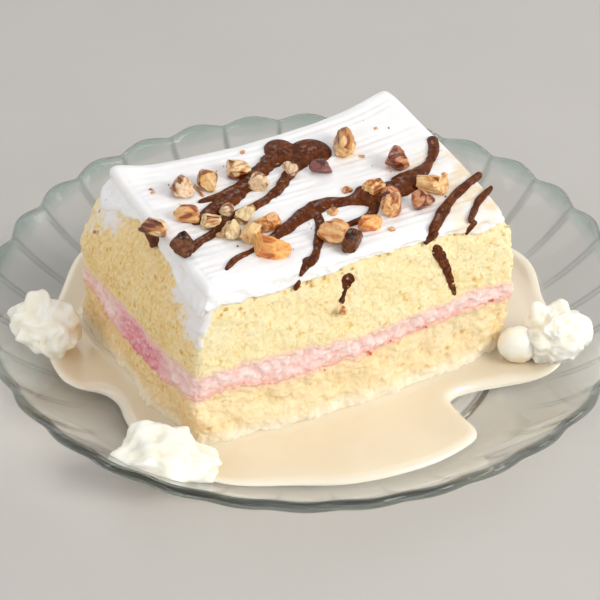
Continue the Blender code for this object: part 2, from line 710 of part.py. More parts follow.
def drizzle_pieces(finish, grow=0.0):
    """All the strokes and blobs on the icing as loose pieces."""
    def on_icing(spot, up):
        return (spot.x, spot.y, icing_height(spot.x, spot.y) - COMB_RELIEF + up)

    pieces = []
    for name, route in STROKES.items():
        stroke = rope(smooth_route(route, DRIZZLE_STEP), DRIZZLE_RISE, grow, on_icing)
        pieces.append(make_piece("drizzle_" + name, stroke, finish))
    for x, y, half_x, half_y, rise in BLOBS:
        blob = ellipsoid(Vector((x, y, icing_height(x, y) - BLOB_SINK)),
                         (half_x + grow, half_y + grow, rise + grow), BLOB_FACES)
        pieces.append(make_piece("drizzle_blob", blob, finish))
    return pieces


def ellipsoid(middle, half_sizes, faces, shape=None):
    """A closed round shape; shape gives the reach in a direction, one if it is plain."""
    columns, rows = faces

    def reach(turn, tilt):
        way = direction(turn, tilt)
        scale = shape(way) if shape else 1.0
        return tuple(middle + Vector([w * h * scale for w, h in zip(way, half_sizes)]))

    body = Shell()
    rings = []
    for row in range(1, rows):
        tilt = math.pi * (row / rows - 0.5)
        rings.append(body.ring([reach(2 * math.pi * i / columns, tilt) for i in range(columns)]))
    body.fan(rings[0], reach(0.0, -math.pi / 2), up=False)
    for start, end in zip(rings, rings[1:]):
        body.band(start, end)
    body.fan(rings[-1], reach(0.0, math.pi / 2), up=True)
    return body


def crumb_bits(finish):
    """Small crumbs of pecan that are stuck in the icing."""
    pieces = []
    for x, y, size in CRUMB_BITS:
        middle = Vector((x, y, icing_height(x, y) - COMB_RELIEF + size * BIT_SHOWS))
        sizes = (size, size * BIT_FLATNESS, size * BIT_FLATNESS)
        pieces.append(make_piece("bit", ellipsoid(middle, sizes, BIT_FACES), finish))
    return pieces


def front_drips(finish):
    """Chocolate that ran down the long cut face."""
    def on_face(spot, up):
        place = (spot.x - CORNERS[0][3][0]) / (CORNERS[1][3][0] - CORNERS[0][3][0])
        return (spot.x, outline(place, spot.y)[1] - up, spot.y)

    pieces = []
    for route in FRONT_DRIPS:
        stroke = rope(smooth_route(route, DRIP_STEP), DRIP_RISE, 0.0, on_face)
        pieces.append(make_piece("drip", stroke, finish))
    return pieces


# Pecans


def pecan_shell(number, grow=0.0):
    """A broken piece of pecan that stands on the icing."""
    x, y, length, width, height, turn = PECANS[number]
    block = bmesh.new()
    bmesh.ops.create_cube(block, size=2.0)
    bmesh.ops.subdivide_edges(block, edges=block.edges, cuts=1, use_grid_fill=True)
    bmesh.ops.triangulate(block, faces=block.faces)
    block.verts.ensure_lookup_table()
    turned = Matrix.Rotation(math.radians(turn), 3, "Z")
    half = Vector((length, width, height)) / 2 + Vector((grow, grow, grow))
    support = icing_height(x, y) + GAP - grow
    shell = Shell()
    for vert in block.verts:
        way = vert.co.lerp(vert.co.normalized() * PECAN_BALL, PECAN_ROUNDING)
        for axis in range(3):
            start = Vector((number * PECAN_APART, axis * PECAN_AXIS_APART, 0.0))
            way[axis] += noise.noise(vert.co * PECAN_GRAIN + start) * PECAN_JITTER
        on_top_middle = vert.co.z > 0.5 and abs(vert.co.y) < 0.5
        if on_top_middle:
            way.z -= PECAN_CREASE
        point = turned @ Vector([w * h for w, h in zip(way, half)])
        point += Vector((x, y, support + height * PECAN_STANDS))
        point.z = max(point.z, icing_height(point.x, point.y) + GAP - grow)
        shell.points.append(tuple(point))
    shell.faces = [tuple(v.index for v in face.verts) for face in block.faces]
    block.free()
    return shell


def make_pecans(finish):
    """Each pecan is its own piece, cut clear of the chocolate and of its neighbours."""
    for number, (x, y, length, width, _, _) in enumerate(PECANS):
        piece = make_piece(f"pecan_{number + 1:02d}", pecan_shell(number), finish)
        cutters = drizzle_pieces(finish, grow=GAP)
        for other in range(number):
            near = math.dist((x, y), PECANS[other][:2])
            if near < (max(length, width) + max(PECANS[other][2:4])) / 2 + 1:
                cutters.append(make_piece("neighbour", pecan_shell(other, grow=GAP), finish))
        cut_clear(piece, cutters)


# Milk and cream


def pool_edge_point(place):
    """Point of the pool's edge on a smooth closed curve through its named points."""
    count = len(POOL_EDGE)
    index, share = int(place), place - int(place)
    nodes = []
    for k in range(index - 1, index + 3):
        angle, radius = POOL_EDGE[k % count]
        nodes.append(Vector(polar(radius, math.radians(angle), 0.0)))
    return curve_point(*nodes, share)


def turn_past(point, first):
    """Angle of a point about the middle, from a first angle onwards."""
    return (math.atan2(point[1], point[0]) - first) % (2 * math.pi)


def pool_edge():
    """Points of the pool's edge, evenly spaced off each side of the slice."""
    feet = [Vector(outline(float(side), CAKE_BOTTOM)) for side in range(4)]
    first = math.atan2(feet[0].y, feet[0].x)
    fine = [pool_edge_point(i / CURVE_STEPS) for i in range(CURVE_STEPS * len(POOL_EDGE))]
    fine.sort(key=lambda point: turn_past(point, first))
    ends = [turn_past(foot, first) for foot in feet] + [2 * math.pi]
    points = []
    for side, count in enumerate(COLUMNS):
        run = [p for p in fine if ends[side] <= turn_past(p, first) <= ends[side + 1]]
        steps = [0.0]
        for start, end in zip(run, run[1:]):
            steps.append(steps[-1] + (end - start).length)
        for i in range(count):
            goal = steps[-1] * (i + 0.5) / count
            points.append(run[next(n for n, step in enumerate(steps) if step >= goal)])
    return points


def milk_height(radius):
    """Top of the milk: level near the slice, a film where the plate rises."""
    return max(POOL_LEVEL, floor_height(radius) + MILK_FILM)


def make_pool(finish, creams):
    inner = [Vector(point) for point in foot_ring(GAP + POOL_CLEAR)]
    edge = pool_edge()
    pool = Shell()

    def row(share, height_at):
        spots = [start.lerp(end, share) for start, end in zip(inner, edge)]
        return pool.ring([(spot.x, spot.y, height_at(spot.xy.length)) for spot in spots])

    def bottom(radius):
        return floor_height(radius) + GAP

    rings = [row(share, bottom) for share in POOL_UNDER_SHARES]
    rings.append(row(1.0, lambda radius: floor_height(radius) + MILK_FILM / 2))
    rings += [row(share, milk_height) for share in reversed(POOL_SHARES)]
    rings.append(row(0.0, milk_height))
    for start, end in zip(rings, rings[1:] + rings[:1]):
        pool.band(start, end)
    piece = make_piece("milk_pool", pool, finish)
    cut_clear(piece, creams)
    return piece


def cream_shell(name, grow=0.0):
    """A spoonful of whipped cream that lies on the glass."""
    middle, half_sizes, lobes = CREAMS[name]
    turned = Matrix.Rotation(VIEW_TURN, 3, "Z")
    ways = []
    for turn, tilt, extra, width in lobes:
        ways.append((direction(math.radians(turn), math.radians(tilt)), extra, width))

    def shape(way):
        reach = 1.0 + CREAM_RIPPLE * noise.noise(way * CREAM_FOLDS + Vector(middle))
        for lobe, extra, width in ways:
            reach += extra * math.exp((way.dot(lobe) - 1.0) / width)
        return reach

    def rests(spot):
        return spot.z >= floor_height(math.hypot(spot.x, spot.y)) + GAP - grow

    sizes = [half + grow for half in half_sizes]
    body = ellipsoid(Vector((0, 0, 0)), sizes, CREAM_FACES, shape)
    middle = Vector(middle)
    points = []
    for point in body.points:
        reach = turned @ Vector(point)
        points.append(tuple(middle + reach * last_share(lambda share: rests(middle + reach * share))))
    body.points = points
    return body


def slice_cutter(finish, grow):
    """The slice's own space with room around it."""
    cutter = Shell()
    rings = []
    for height in (FLOOR_HEIGHT, *CAKE_HEIGHTS):
        points = [(*outline(p, height, grow), height) for p in places(COLUMNS)]
        rings.append(cutter.ring(rounded(points, COLUMNS)))
    cutter.lid(rings[0], up=False)
    for start, end in zip(rings, rings[1:]):
        cutter.band(start, end)
    cutter.lid(rings[-1], up=True)
    return make_piece("slice_cutter", cutter, finish)


def make_creams(finish):
    """Each spoonful is cut clear of the slice and of the ones before it."""
    done = []
    for name in CREAMS:
        piece = make_piece(name, cream_shell(name), finish, smooth_angle=60.0)
        cutters = [slice_cutter(finish, CREAM_CLEAR)]
        cutters += [make_piece("neighbour", cream_shell(other, GAP), finish) for other in done]
        cut_clear(piece, cutters)
        done.append(name)


def main():
    for old in list(bpy.data.objects):
        bpy.data.objects.remove(old)

    glass = material("clear_glass", (0.86, 0.90, 0.88), 0.03, alpha=0.35)
    sponge = material("sponge", (0.93, 0.80, 0.50), 0.85)
    soaked = material("soaked_sponge", (0.93, 0.82, 0.58), 0.6)
    pink = material("pink_filling", (0.93, 0.66, 0.62), 0.5)
    white = material("white_icing", (0.95, 0.94, 0.93), 0.5)
    nut = material("pecan", (0.62, 0.33, 0.12), 0.45)
    milk = material("milk", (0.92, 0.82, 0.66), 0.2)
    cream = material("whipped_cream", (0.96, 0.95, 0.90), 0.45)

    make_plate(glass)
    upper = make_sponges(soaked, pink, sponge)
    join(upper, front_drips(sponge))
    make_icing(white, drizzle_pieces(white) + crumb_bits(white))
    make_pecans(nut)
    make_creams(cream)
    room = GAP + POOL_CLEAR
    make_pool(milk, [make_piece("neighbour", cream_shell(name, room), cream) for name in CREAMS])


main()
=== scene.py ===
# %% [markdown]
# # A slice of tres leches cake on a scalloped glass plate
#
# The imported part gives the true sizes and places.  This script dresses it: each
# cell makes one piece of the dessert in fine mesh, and gives it a procedural
# finish.  Shapes are worked out in millimetres with NumPy, which moves tens of
# thousands of points at once, and become metres when a piece is made.

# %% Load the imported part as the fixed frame
import math

import bmesh
import bpy
import numpy as np
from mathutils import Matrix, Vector, noise


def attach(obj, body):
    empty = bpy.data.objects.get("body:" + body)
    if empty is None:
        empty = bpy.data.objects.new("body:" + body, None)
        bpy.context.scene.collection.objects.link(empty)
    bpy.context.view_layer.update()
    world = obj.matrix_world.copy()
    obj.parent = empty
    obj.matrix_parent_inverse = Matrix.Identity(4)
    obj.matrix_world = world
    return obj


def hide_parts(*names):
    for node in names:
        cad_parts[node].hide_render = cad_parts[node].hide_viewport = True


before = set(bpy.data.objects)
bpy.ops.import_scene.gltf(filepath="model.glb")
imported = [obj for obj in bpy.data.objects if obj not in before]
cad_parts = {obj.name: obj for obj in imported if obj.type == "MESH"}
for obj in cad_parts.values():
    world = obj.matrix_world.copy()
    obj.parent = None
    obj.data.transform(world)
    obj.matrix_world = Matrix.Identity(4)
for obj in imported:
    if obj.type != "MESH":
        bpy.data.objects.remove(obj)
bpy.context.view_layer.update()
print("nodes in the frame:", len(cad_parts))

# %% [markdown]
# ## Camera and studio
#
# The photo looks down on the plate from its front left, from about 0.83 m away
# through a long lens.  A large soft light at the front right makes the long cut
# face bright and the icing's ridges show, and leaves the short face in mild
# shade.  A pale floor lies under the plate, because glass needs something calm to
# show.

# %% Camera at the photo's angle
MM = 0.001
CAMERA_PLACE = (-0.2805, -0.5862, 0.5140)
CAMERA_LOOKS = (0.34155, 0.71947, -0.60473)
LENS_LENGTH = 154.1
NEAREST_SEEN = 0.05

scene = bpy.context.scene
scene.view_settings.view_transform = "Standard"

lens = bpy.data.cameras.new("photo_camera")
lens.lens = LENS_LENGTH
lens.clip_start = NEAREST_SEEN
camera = bpy.data.objects.new("photo_camera", lens)
camera.location = CAMERA_PLACE
camera.rotation_euler = Vector(CAMERA_LOOKS).to_track_quat("-Z", "Y").to_euler()
scene.collection.objects.link(camera)
scene.camera = camera
print("camera stands", round(camera.location.length, 3), "m from the plate's foot")

# %% Lights and room
LIGHT_AIM = (0.0, 0.0, 0.03)
LIGHTS = {                       # place in metres, size, power, tint
    "window": ((0.52, -0.70, 0.62), 0.45, 6.7, (1.0, 0.985, 0.96)),
    "ceiling": ((0.25, 0.75, 0.85), 0.6, 1.7, (0.98, 0.99, 1.0)),
    "fill": ((-0.55, -0.85, 0.55), 0.9, 1.5, (1.0, 0.985, 0.97)),
    "bounce": ((-0.9, 0.1, 0.45), 0.9, 1.9, (1.0, 0.95, 0.89)),
    "side": ((1.05, -0.26, 0.50), 0.4, 1.2, (1.0, 1.0, 1.0)),
}
ROOM_TINT = (0.96, 0.965, 1.0, 1.0)
ROOM_STRENGTH = 0.55

for name, (place, size, power, tint) in LIGHTS.items():
    light = bpy.data.lights.new(name, "AREA")
    light.size = size
    light.energy = power
    light.color = tint
    lamp = bpy.data.objects.new(name, light)
    lamp.location = place
    lamp.rotation_euler = (Vector(LIGHT_AIM) - Vector(place)).to_track_quat("-Z", "Y").to_euler()
    scene.collection.objects.link(lamp)

world = bpy.data.worlds.new("soft_room")
world.use_nodes = True
world.node_tree.nodes["Background"].inputs["Color"].default_value = ROOM_TINT
world.node_tree.nodes["Background"].inputs["Strength"].default_value = ROOM_STRENGTH
scene.world = world

# %% [markdown]
# ## A short way to write node trees
#
# A finish is a sum of noises, masks and colours.  Written as Python expressions
# it reads like one: `Value` wraps a socket so that `1 - mask` adds a Math node,
# and one method of `Wiring` adds every other kind of node.


# %% Value and Wiring
class Value:
    """A number on its way through a node tree."""

    def __init__(self, wiring, socket):
        self.wiring, self.socket = wiring, socket

    def math(self, operation, first, second=0.0, third=0.0):
        sockets = {0: first, 1: second, 2: third}
        return self.wiring.value("ShaderNodeMath", {"operation": operation}, sockets)

    def __add__(self, other):
        return self.math("ADD", self, other)

    def __sub__(self, other):
        return self.math("SUBTRACT", self, other)

    def __mul__(self, other):
        return self.math("MULTIPLY", self, other)

    def __truediv__(self, other):
        return self.math("DIVIDE", self, other)

    def __pow__(self, other):
        return self.math("POWER", self, other)

    __radd__ = __add__
    __rmul__ = __mul__

    def __rsub__(self, other):
        return self.math("SUBTRACT", other, self)

    def apply(self, operation):
        """A function of this one number, such as its sine."""
        return self.math(operation, self)

    def step(self, low, high):
        """Nought below low, one above high, and soft between."""
        sockets = {"Value": self, "From Min": low, "From Max": high}
        return self.wiring.value("ShaderNodeMapRange", {"interpolation_type": "SMOOTHSTEP"}, sockets)


class Wiring:
    """Adds nodes to a tree and joins them up."""

    def __init__(self, tree):
        self.tree = tree

    def node(self, kind, settings=None, sockets=None):
        made = self.tree.nodes.new(kind)
        for name, setting in (settings or {}).items():
            setattr(made, name, setting)
        for name, given in (sockets or {}).items():
            if isinstance(given, Value):
                self.tree.links.new(given.socket, made.inputs[name])
            else:
                made.inputs[name].default_value = given
        return made

    def value(self, kind, settings=None, sockets=None, output=0):
        return Value(self, self.node(kind, settings, sockets).outputs[output])

    def axes(self, place):
        """The three numbers of a place."""
        parts = self.node("ShaderNodeSeparateXYZ", None, {0: place})
        return [Value(self, parts.outputs[axis]) for axis in "XYZ"]


def colour(code):
    """Linear colour from the hex code that a paint chart gives."""
    parts = [int(code[i:i + 2], 16) / 255 for i in (1, 3, 5)]
    return tuple(p / 12.92 if p <= 0.04045 else ((p + 0.055) / 1.055) ** 2.4 for p in parts) + (1.0,)


print("wiring ready; #FFFFFF is", colour("#FFFFFF"))


# %% Finish: a material with the nodes that food needs
class Finish(Wiring):
    """A Principled material whose patterns follow the piece's own coordinates."""

    def __init__(self, name):
        self.material = bpy.data.materials.new(name)
        self.material.use_nodes = True
        super().__init__(self.material.node_tree)
        self.shader = self.tree.nodes["Principled BSDF"]
        self.place = self.value("ShaderNodeTexCoord", output="Object")

    def cloud(self, size, detail=3.0, rough=0.55, stretch=(1.0, 1.0, 1.0), shift=0.0):
        """Soft noise from nought to one, with lumps of this size in millimetres."""
        sockets = {"Vector": self.place, "Location": (shift, shift, shift), "Scale": stretch}
        place = self.value("ShaderNodeMapping", None, sockets)
        sockets = {"Vector": place, "Scale": 1 / (size * MM), "Detail": detail, "Roughness": rough}
        return self.value("ShaderNodeTexNoise", None, sockets)

    def bubbles(self, size):
        """Round cells of this size in millimetres, from nought at their middles."""
        sockets = {"Vector": self.place, "Scale": 1 / (size * MM)}
        return self.value("ShaderNodeTexVoronoi", None, sockets, "Distance")

    def painted(self, name):
        """What was worked out for each point of the mesh when it was made."""
        return self.value("ShaderNodeAttribute", {"attribute_name": name}, None, "Fac")

    def mix(self, share, low, high):
        """From one colour to another; a colour is a hex code or a link."""
        low, high = (colour(c) if isinstance(c, str) else c for c in (low, high))
        return self.value("ShaderNodeMix", {"data_type": "RGBA"}, {0: share, 6: low, 7: high}, 2)

    def bump(self, height, depth):
        """Small relief in millimetres on top of the mesh's own."""
        sockets = {"Height": height, "Distance": depth * MM, "Strength": 1.0}
        return self.value("ShaderNodeBump", None, sockets)

    def surface(self, **sockets):
        """Sets or links the shader's sockets; an underscore stands for a space."""
        for name, given in sockets.items():
            socket = self.shader.inputs[name.replace("_", " ")]
            if isinstance(given, Value):
                self.tree.links.new(given.socket, socket)
            else:
                socket.default_value = given


floor_finish = Finish("pale_floor")
floor_tone = floor_finish.mix(floor_finish.cloud(60.0), "#BEBAB4", "#C4C0BA")
floor_finish.surface(Base_Color=floor_tone, Roughness=0.6, Specular_IOR_Level=0.2)
print("floor finish has", len(floor_finish.tree.nodes), "nodes")

# %% [markdown]
# ## Making a piece
#
# Every piece is a NumPy array of points and a list of faces.  `loose_piece` turns
# it into an object at the origin and gives it a finish.  `make_piece` also adds
# what was painted on its points, and hangs it on the frame in place of the plain
# solid.


# %% Helpers that make pieces
def loose_piece(name, points, faces, finish):
    """A piece at the origin, from points in millimetres."""
    mesh = bpy.data.meshes.new(name)
    mesh.from_pydata((np.asarray(points, float) * MM).tolist(), [], faces)
    mesh.materials.append(finish.material)
    piece = bpy.data.objects.new(name, mesh)
    scene.collection.objects.link(piece)
    return piece


def hang(piece, nodes, slot=None):
    """Ties a finished piece to the frame and lets it stand for its solids."""
    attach(piece, "root")
    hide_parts(*nodes)
    piece.data.calc_loop_triangles()
    print(piece.name, "has", len(piece.data.loop_triangles), "triangles")


def make_piece(name, points, faces, finish, nodes, slot, painted):
    """A smooth-shaded piece with what was painted on its points, riding on the frame."""
    piece = loose_piece(name, points, faces, finish)
    piece.data.shade_smooth()
    for label, amounts in painted.items():
        layer = piece.data.attributes.new(label, "FLOAT", "POINT")
        layer.data.foreach_set("value", np.asarray(amounts, np.float32))
    hang(piece, nodes, slot)
    return piece


def rings_to_faces(rings, columns):
    """Quads between closed rings of points that lie one after another."""
    faces = []
    for low in range(0, (rings - 1) * columns, columns):
        high = low + columns
        for i in range(columns):
            j = (i + 1) % columns
            faces.append((low + i, low + j, high + j, high + i))
    return faces


def round_ball(around, up):
    """Ways out of a ball's middle, ring by ring and then its two poles, and its faces."""
    turn = np.linspace(0, 2 * np.pi, around, endpoint=False)
    tilt = np.linspace(-np.pi / 2, np.pi / 2, up)[1:-1, None]
    ways = np.stack(np.broadcast_arrays(np.cos(turn) * np.cos(tilt), np.sin(turn) * np.cos(tilt),
                                        np.sin(tilt) + 0 * turn), -1)
    ways = np.concatenate([ways.reshape(-1, 3), [(0, 0, -1), (0, 0, 1)]])
    count, last = (up - 2) * around, (up - 3) * around
    faces = rings_to_faces(up - 2, around)
    faces += [((i + 1) % around, i, count) for i in range(around)]
    faces += [(last + i, last + (i + 1) % around, count + 1) for i in range(around)]
    return ways, faces


def smooth_curve(before, start, end, after, steps):
    """Points of a soft curve from start to end, which the stops beside them bend."""
    t = np.linspace(0, 1, steps, endpoint=False)[:, None]
    return 0.5 * (2 * start + (end - before) * t
                  + (2 * before - 5 * start + 4 * end - after) * t * t
                  + (3 * start - before - 3 * end + after) * t ** 3)


def spin(points, angle):
    """Points turned about the upright axis."""
    cos, sin = math.cos(angle), math.sin(angle)
    x, y, z = points.T
    return np.stack([x * cos - y * sin, x * sin + y * cos, z], -1)


def lumps(points, size, seed=0.0):
    """Smooth noise from about -1 to 1 at points, with lumps of a size in mm."""
    scaled = np.asarray(points, float) / size + seed
    return np.array([noise.noise(Vector(p)) for p in scaled.reshape(-1, 3).tolist()]).reshape(
        scaled.shape[:-1])


def smooth_step(value, low, high):
    share = np.clip((value - low) / (high - low), 0.0, 1.0)
    return share * share * (3 - 2 * share)


print("a ball of 40 columns has", len(round_ball(40, 20)[1]), "faces")

# %% Floor under the plate
FLOOR_REACH = 4000.0
floor_corners = [(x * FLOOR_REACH, y * FLOOR_REACH, 0.0) for x, y in ((-1, -1), (1, -1), (1, 1), (-1, 1))]
floor = loose_piece("floor", floor_corners, [(0, 1, 2, 3)], floor_finish)
print("floor is", round(2 * FLOOR_REACH * MM, 1), "m wide")

# %% [markdown]
# ## The glass plate
#
# The plate is pressed glass: a flat floor on a low foot ring, and a wall that
# climbs as a parabola and is fluted into 32 petals.  Its shape follows a rule, so
# Geometry Nodes make it: a grid is wrapped round a profile, as on a potter's
# wheel, and each petal then pushes the wall outwards by an arch that grows
# towards the rim.

# %% The plate's profile
PETALS = 32
PETAL_DEPTH = 2.0
PETAL_RISE = 1.15
PETAL_START_RADIUS = 73.0
PETAL_TURN = math.radians(2.5)
RIM_RADIUS = 99.5
RIM_HEIGHT = 22.2
WALL_START_RADIUS = 64.0
FLOOR_HEIGHT = 3.2
GLASS = 3.0
WALL_STEPS = 40
LIP_STEPS = 8
ARCH_SHARE = 0.55                # the rest of a petal's shape is a wave
PLATE_COLUMNS = PETALS * 12 + 1
PLATE_ROWS = 230
CREASE_RADII = (74.0, 90.0)      # the creases between petals are seen from here on
EDGE_RADII = (RIM_RADIUS - 1.5, RIM_RADIUS + 1.1)


def wall_point(share, offset):
    """Radius and height on the wall, offset from the middle of the glass."""
    run, rise = RIM_RADIUS - WALL_START_RADIUS, 2 * share * (RIM_HEIGHT - FLOOR_HEIGHT)
    length = math.hypot(run, rise)
    return (WALL_START_RADIUS + run * share - rise * offset / length,
            FLOOR_HEIGHT + (RIM_HEIGHT - FLOOR_HEIGHT) * share * share + run * offset / length)


def wall_line(offset):
    return [wall_point(i / WALL_STEPS, offset) for i in range(WALL_STEPS + 1)]


def plate_profile():
    """Once round the glass, from the middle of its top to the middle of its base."""
    upper, under = wall_line(GLASS / 2), wall_line(-GLASS / 2)
    tip_radius, tip_height = wall_point(1.0, 0.0)
    slope = math.atan2(2 * (RIM_HEIGHT - FLOOR_HEIGHT), RIM_RADIUS - WALL_START_RADIUS)
    lip = []
    for i in range(1, LIP_STEPS):
        turn = slope + math.pi / 2 - math.pi * i / LIP_STEPS
        lip.append((tip_radius + GLASS / 2 * math.cos(turn), tip_height + GLASS / 2 * math.sin(turn)))
    base = FLOOR_HEIGHT - GLASS / 2
    foot = [(62.6, base), (61.6, base - 0.5), (61.1, 0.4), (60.4, 0.0), (58.1, 0.0), (57.4, 0.4),
            (56.8, base - 0.5), (55.8, base)]
    return [(0.0, FLOOR_HEIGHT + GLASS / 2)] + upper + lip + under[::-1] + foot + [(0.0, base)]


profile = plate_profile()
print("profile has", len(profile), "points, rim at", round(max(p[0] for p in profile), 1), "mm")

# %% The plate's recipe in Geometry Nodes
plate_finish = Finish("clear_pressed_glass")
ripple = plate_finish.cloud(14.0, detail=1.0)
from_axis = plate_finish.value("ShaderNodeVectorMath", {"operation": "MULTIPLY"},
                               {0: plate_finish.place, 1: (1.0, 1.0, 0.0)})
from_axis = plate_finish.value("ShaderNodeVectorMath", {"operation": "LENGTH"}, {0: from_axis}, "Value")
clear = plate_finish.mix(ripple, "#F1F3F1", "#F9FAF8")
x_place, y_place, _ = plate_finish.axes(plate_finish.place)
turned = y_place.math("ARCTAN2", y_place, x_place) - PETAL_TURN
petal_place = (turned * PETALS / (2 * math.pi)).apply("FRACT")
off_middle = (petal_place - 0.5).apply("ABSOLUTE") * 2
# painted shade: the glass is tinted darker along the creases between the petals
crease = off_middle.step(0.84, 1.0) * from_axis.step(*(radius * MM for radius in CREASE_RADII))
tint = plate_finish.mix(crease * 0.75, clear, "#959F9A")
edge = from_axis.step(*(radius * MM for radius in EDGE_RADII))
plate_finish.surface(
    Base_Color=plate_finish.mix(edge, tint, "#98BDB3"), Roughness=0.02, IOR=1.46,
    Transmission_Weight=1.0, Alpha=0.9 - 0.35 * edge, Normal=plate_finish.bump(ripple, 0.12))


def new_recipe(name, inputs):
    """An empty Geometry Nodes tree with named inputs."""
    tree = bpy.data.node_groups.new(name, "GeometryNodeTree")
    tree.interface.new_socket("Geometry", in_out="INPUT", socket_type="NodeSocketGeometry")
    for label, kind in inputs.items():
        tree.interface.new_socket(label, in_out="INPUT", socket_type="NodeSocket" + kind)
    tree.interface.new_socket("Geometry", in_out="OUTPUT", socket_type="NodeSocketGeometry")
    wiring = Wiring(tree)
    start = tree.nodes.new("NodeGroupInput")
    given = {socket.name: Value(wiring, socket) for socket in start.outputs if socket.name}
    return wiring, given


def end_recipe(wiring, geometry, material):
    """Realize Instances and Set Material close every tree, so that the result exports."""
    real = wiring.value("GeometryNodeRealizeInstances", None, {"Geometry": geometry})
    done = wiring.value("GeometryNodeSetMaterial", None, {"Geometry": real, "Material": material})
    wiring.node("NodeGroupOutput", None, {0: done})


def run_recipe(piece, wiring, values):
    """Runs a tree on a piece and keeps the result as a plain mesh."""
    recipe = piece.modifiers.new("recipe", "NODES")
    recipe.node_group = wiring.tree
    for item in wiring.tree.interface.items_tree:
        if item.in_out == "INPUT" and item.name in values:
            recipe[item.identifier] = values[item.name]
    bpy.context.view_layer.update()
    graph = bpy.context.evaluated_depsgraph_get()
    mesh = bpy.data.meshes.new_from_object(piece.evaluated_get(graph))
    piece.modifiers.clear()
    piece.data = mesh


plate_inputs = {"Petals": "Int", "Petal Depth": "Float", "Petal Rise": "Float",
                "Petal Start": "Float", "Rim": "Float", "Turn": "Float", "Columns": "Int",
                "Rows": "Int", "Glass": "Material"}
wheel, given = new_recipe("scalloped_plate", plate_inputs)
sheet = wheel.value("GeometryNodeMeshGrid", None, {
    "Size X": 1.0, "Size Y": 1.0, "Vertices X": given["Columns"], "Vertices Y": given["Rows"]})
across_sheet, up_sheet, _ = wheel.axes(wheel.value("GeometryNodeInputPosition"))
curve = wheel.value("GeometryNodeMeshToCurve", None, {"Mesh": given["Geometry"]})
on_profile = wheel.value("GeometryNodeSampleCurve", {"mode": "FACTOR"},
                         {"Curves": curve, "Factor": up_sheet + 0.5}, "Position")
radius, _, height = wheel.axes(on_profile)
angle = (across_sheet + 0.5) * (2 * math.pi)
petal_share = ((angle - given["Turn"]) * given["Petals"] / (2 * math.pi)).apply("FRACT")
arch = 1 - (2 * petal_share - 1) ** 2.0
wave = 0.5 - 0.5 * (petal_share * (2 * math.pi)).apply("COSINE")
petal_shape = ARCH_SHARE * arch + (1 - ARCH_SHARE) * wave
crown = petal_shape * radius.step(given["Petal Start"], given["Rim"])
reach = radius + given["Petal Depth"] * crown
moved = wheel.value("ShaderNodeCombineXYZ", None, {
    "X": reach * angle.apply("COSINE"), "Y": reach * angle.apply("SINE"),
    "Z": height + given["Petal Rise"] * crown})
wrapped = wheel.value("GeometryNodeSetPosition", None, {"Geometry": sheet, "Position": moved})
closed = wheel.value("GeometryNodeMergeByDistance", None, {"Geometry": wrapped, "Distance": 1e-6})
end_recipe(wheel, wheel.value("GeometryNodeSetShadeSmooth", None, {"Geometry": closed}),
           given["Glass"])
print("plate recipe has", len(wheel.tree.nodes), "nodes")


# %% Throw the plate
def face_outwards(mesh):
    """Turns a closed mesh inside out if its faces point inwards."""
    mesh.calc_loop_triangles()
    corners = np.array([tri.vertices[:] for tri in mesh.loop_triangles])
    points = np.array([v.co[:] for v in mesh.vertices])
    a, b, c = (points[corners[:, k]] for k in range(3))
    volume = np.einsum("ij,ij->i", a, np.cross(b, c)).sum() / 6
    if volume < 0:
        mesh.flip_normals()
    return abs(volume)


plate_mesh = bpy.data.meshes.new("plate_glass")
plate_mesh.from_pydata([(r * MM, 0.0, z * MM) for r, z in profile],
                       [(i, i + 1) for i in range(len(profile) - 1)], [])
plate = bpy.data.objects.new("plate_glass", plate_mesh)
scene.collection.objects.link(plate)
run_recipe(plate, wheel, {
    "Petals": PETALS, "Petal Depth": PETAL_DEPTH * MM, "Petal Rise": PETAL_RISE * MM,
    "Petal Start": PETAL_START_RADIUS * MM, "Rim": RIM_RADIUS * MM, "Turn": PETAL_TURN,
    "Columns": PLATE_COLUMNS, "Rows": PLATE_ROWS, "Glass": plate_finish.material})
glass_volume = face_outwards(plate.data)
print("glass holds", round(glass_volume * 1e6, 1), "cm3")
plate.visible_shadow = False     # clear glass lets the light through to the floor
hang(plate, ["plate"], "clear_glass")


# %% Where the glass is under the food
def petal_crown(radius, angle):
    """One at a petal's middle at the rim, nought at its ends and where the petals start."""
    share = (angle - PETAL_TURN) / (2 * math.pi / PETALS) % 1.0
    arch = 1.0 - (2.0 * share - 1.0) ** 2
    wave = 0.5 - 0.5 * np.cos(2 * math.pi * share)
    shape = ARCH_SHARE * arch + (1 - ARCH_SHARE) * wave
    return shape * smooth_step(radius, PETAL_START_RADIUS, RIM_RADIUS)


TOP_OF_GLASS = np.array(wall_line(GLASS / 2))


def glass_top(x, y):
    """Height of the glass under a point, petals included."""
    far, angle = np.hypot(x, y), np.arctan2(y, x)
    near = far
    for _ in range(4):
        near = far - PETAL_DEPTH * petal_crown(near, angle)
    rise = PETAL_RISE * petal_crown(near, angle)
    return np.interp(near, TOP_OF_GLASS[:, 0], TOP_OF_GLASS[:, 1]) + rise


for radius in (0.0, 80.0):
    print("glass at radius", radius, "is", round(float(glass_top(radius, 0.0)), 1), "mm up")

# %% [markdown]
# ## The slice's outline
#
# The slice was cut by hand, so its four faces lean and swell a little.  Corners
# are given at five heights, and the outline between them is worked out at any
# height.  A place on it is the number of the side plus the share of the way along.

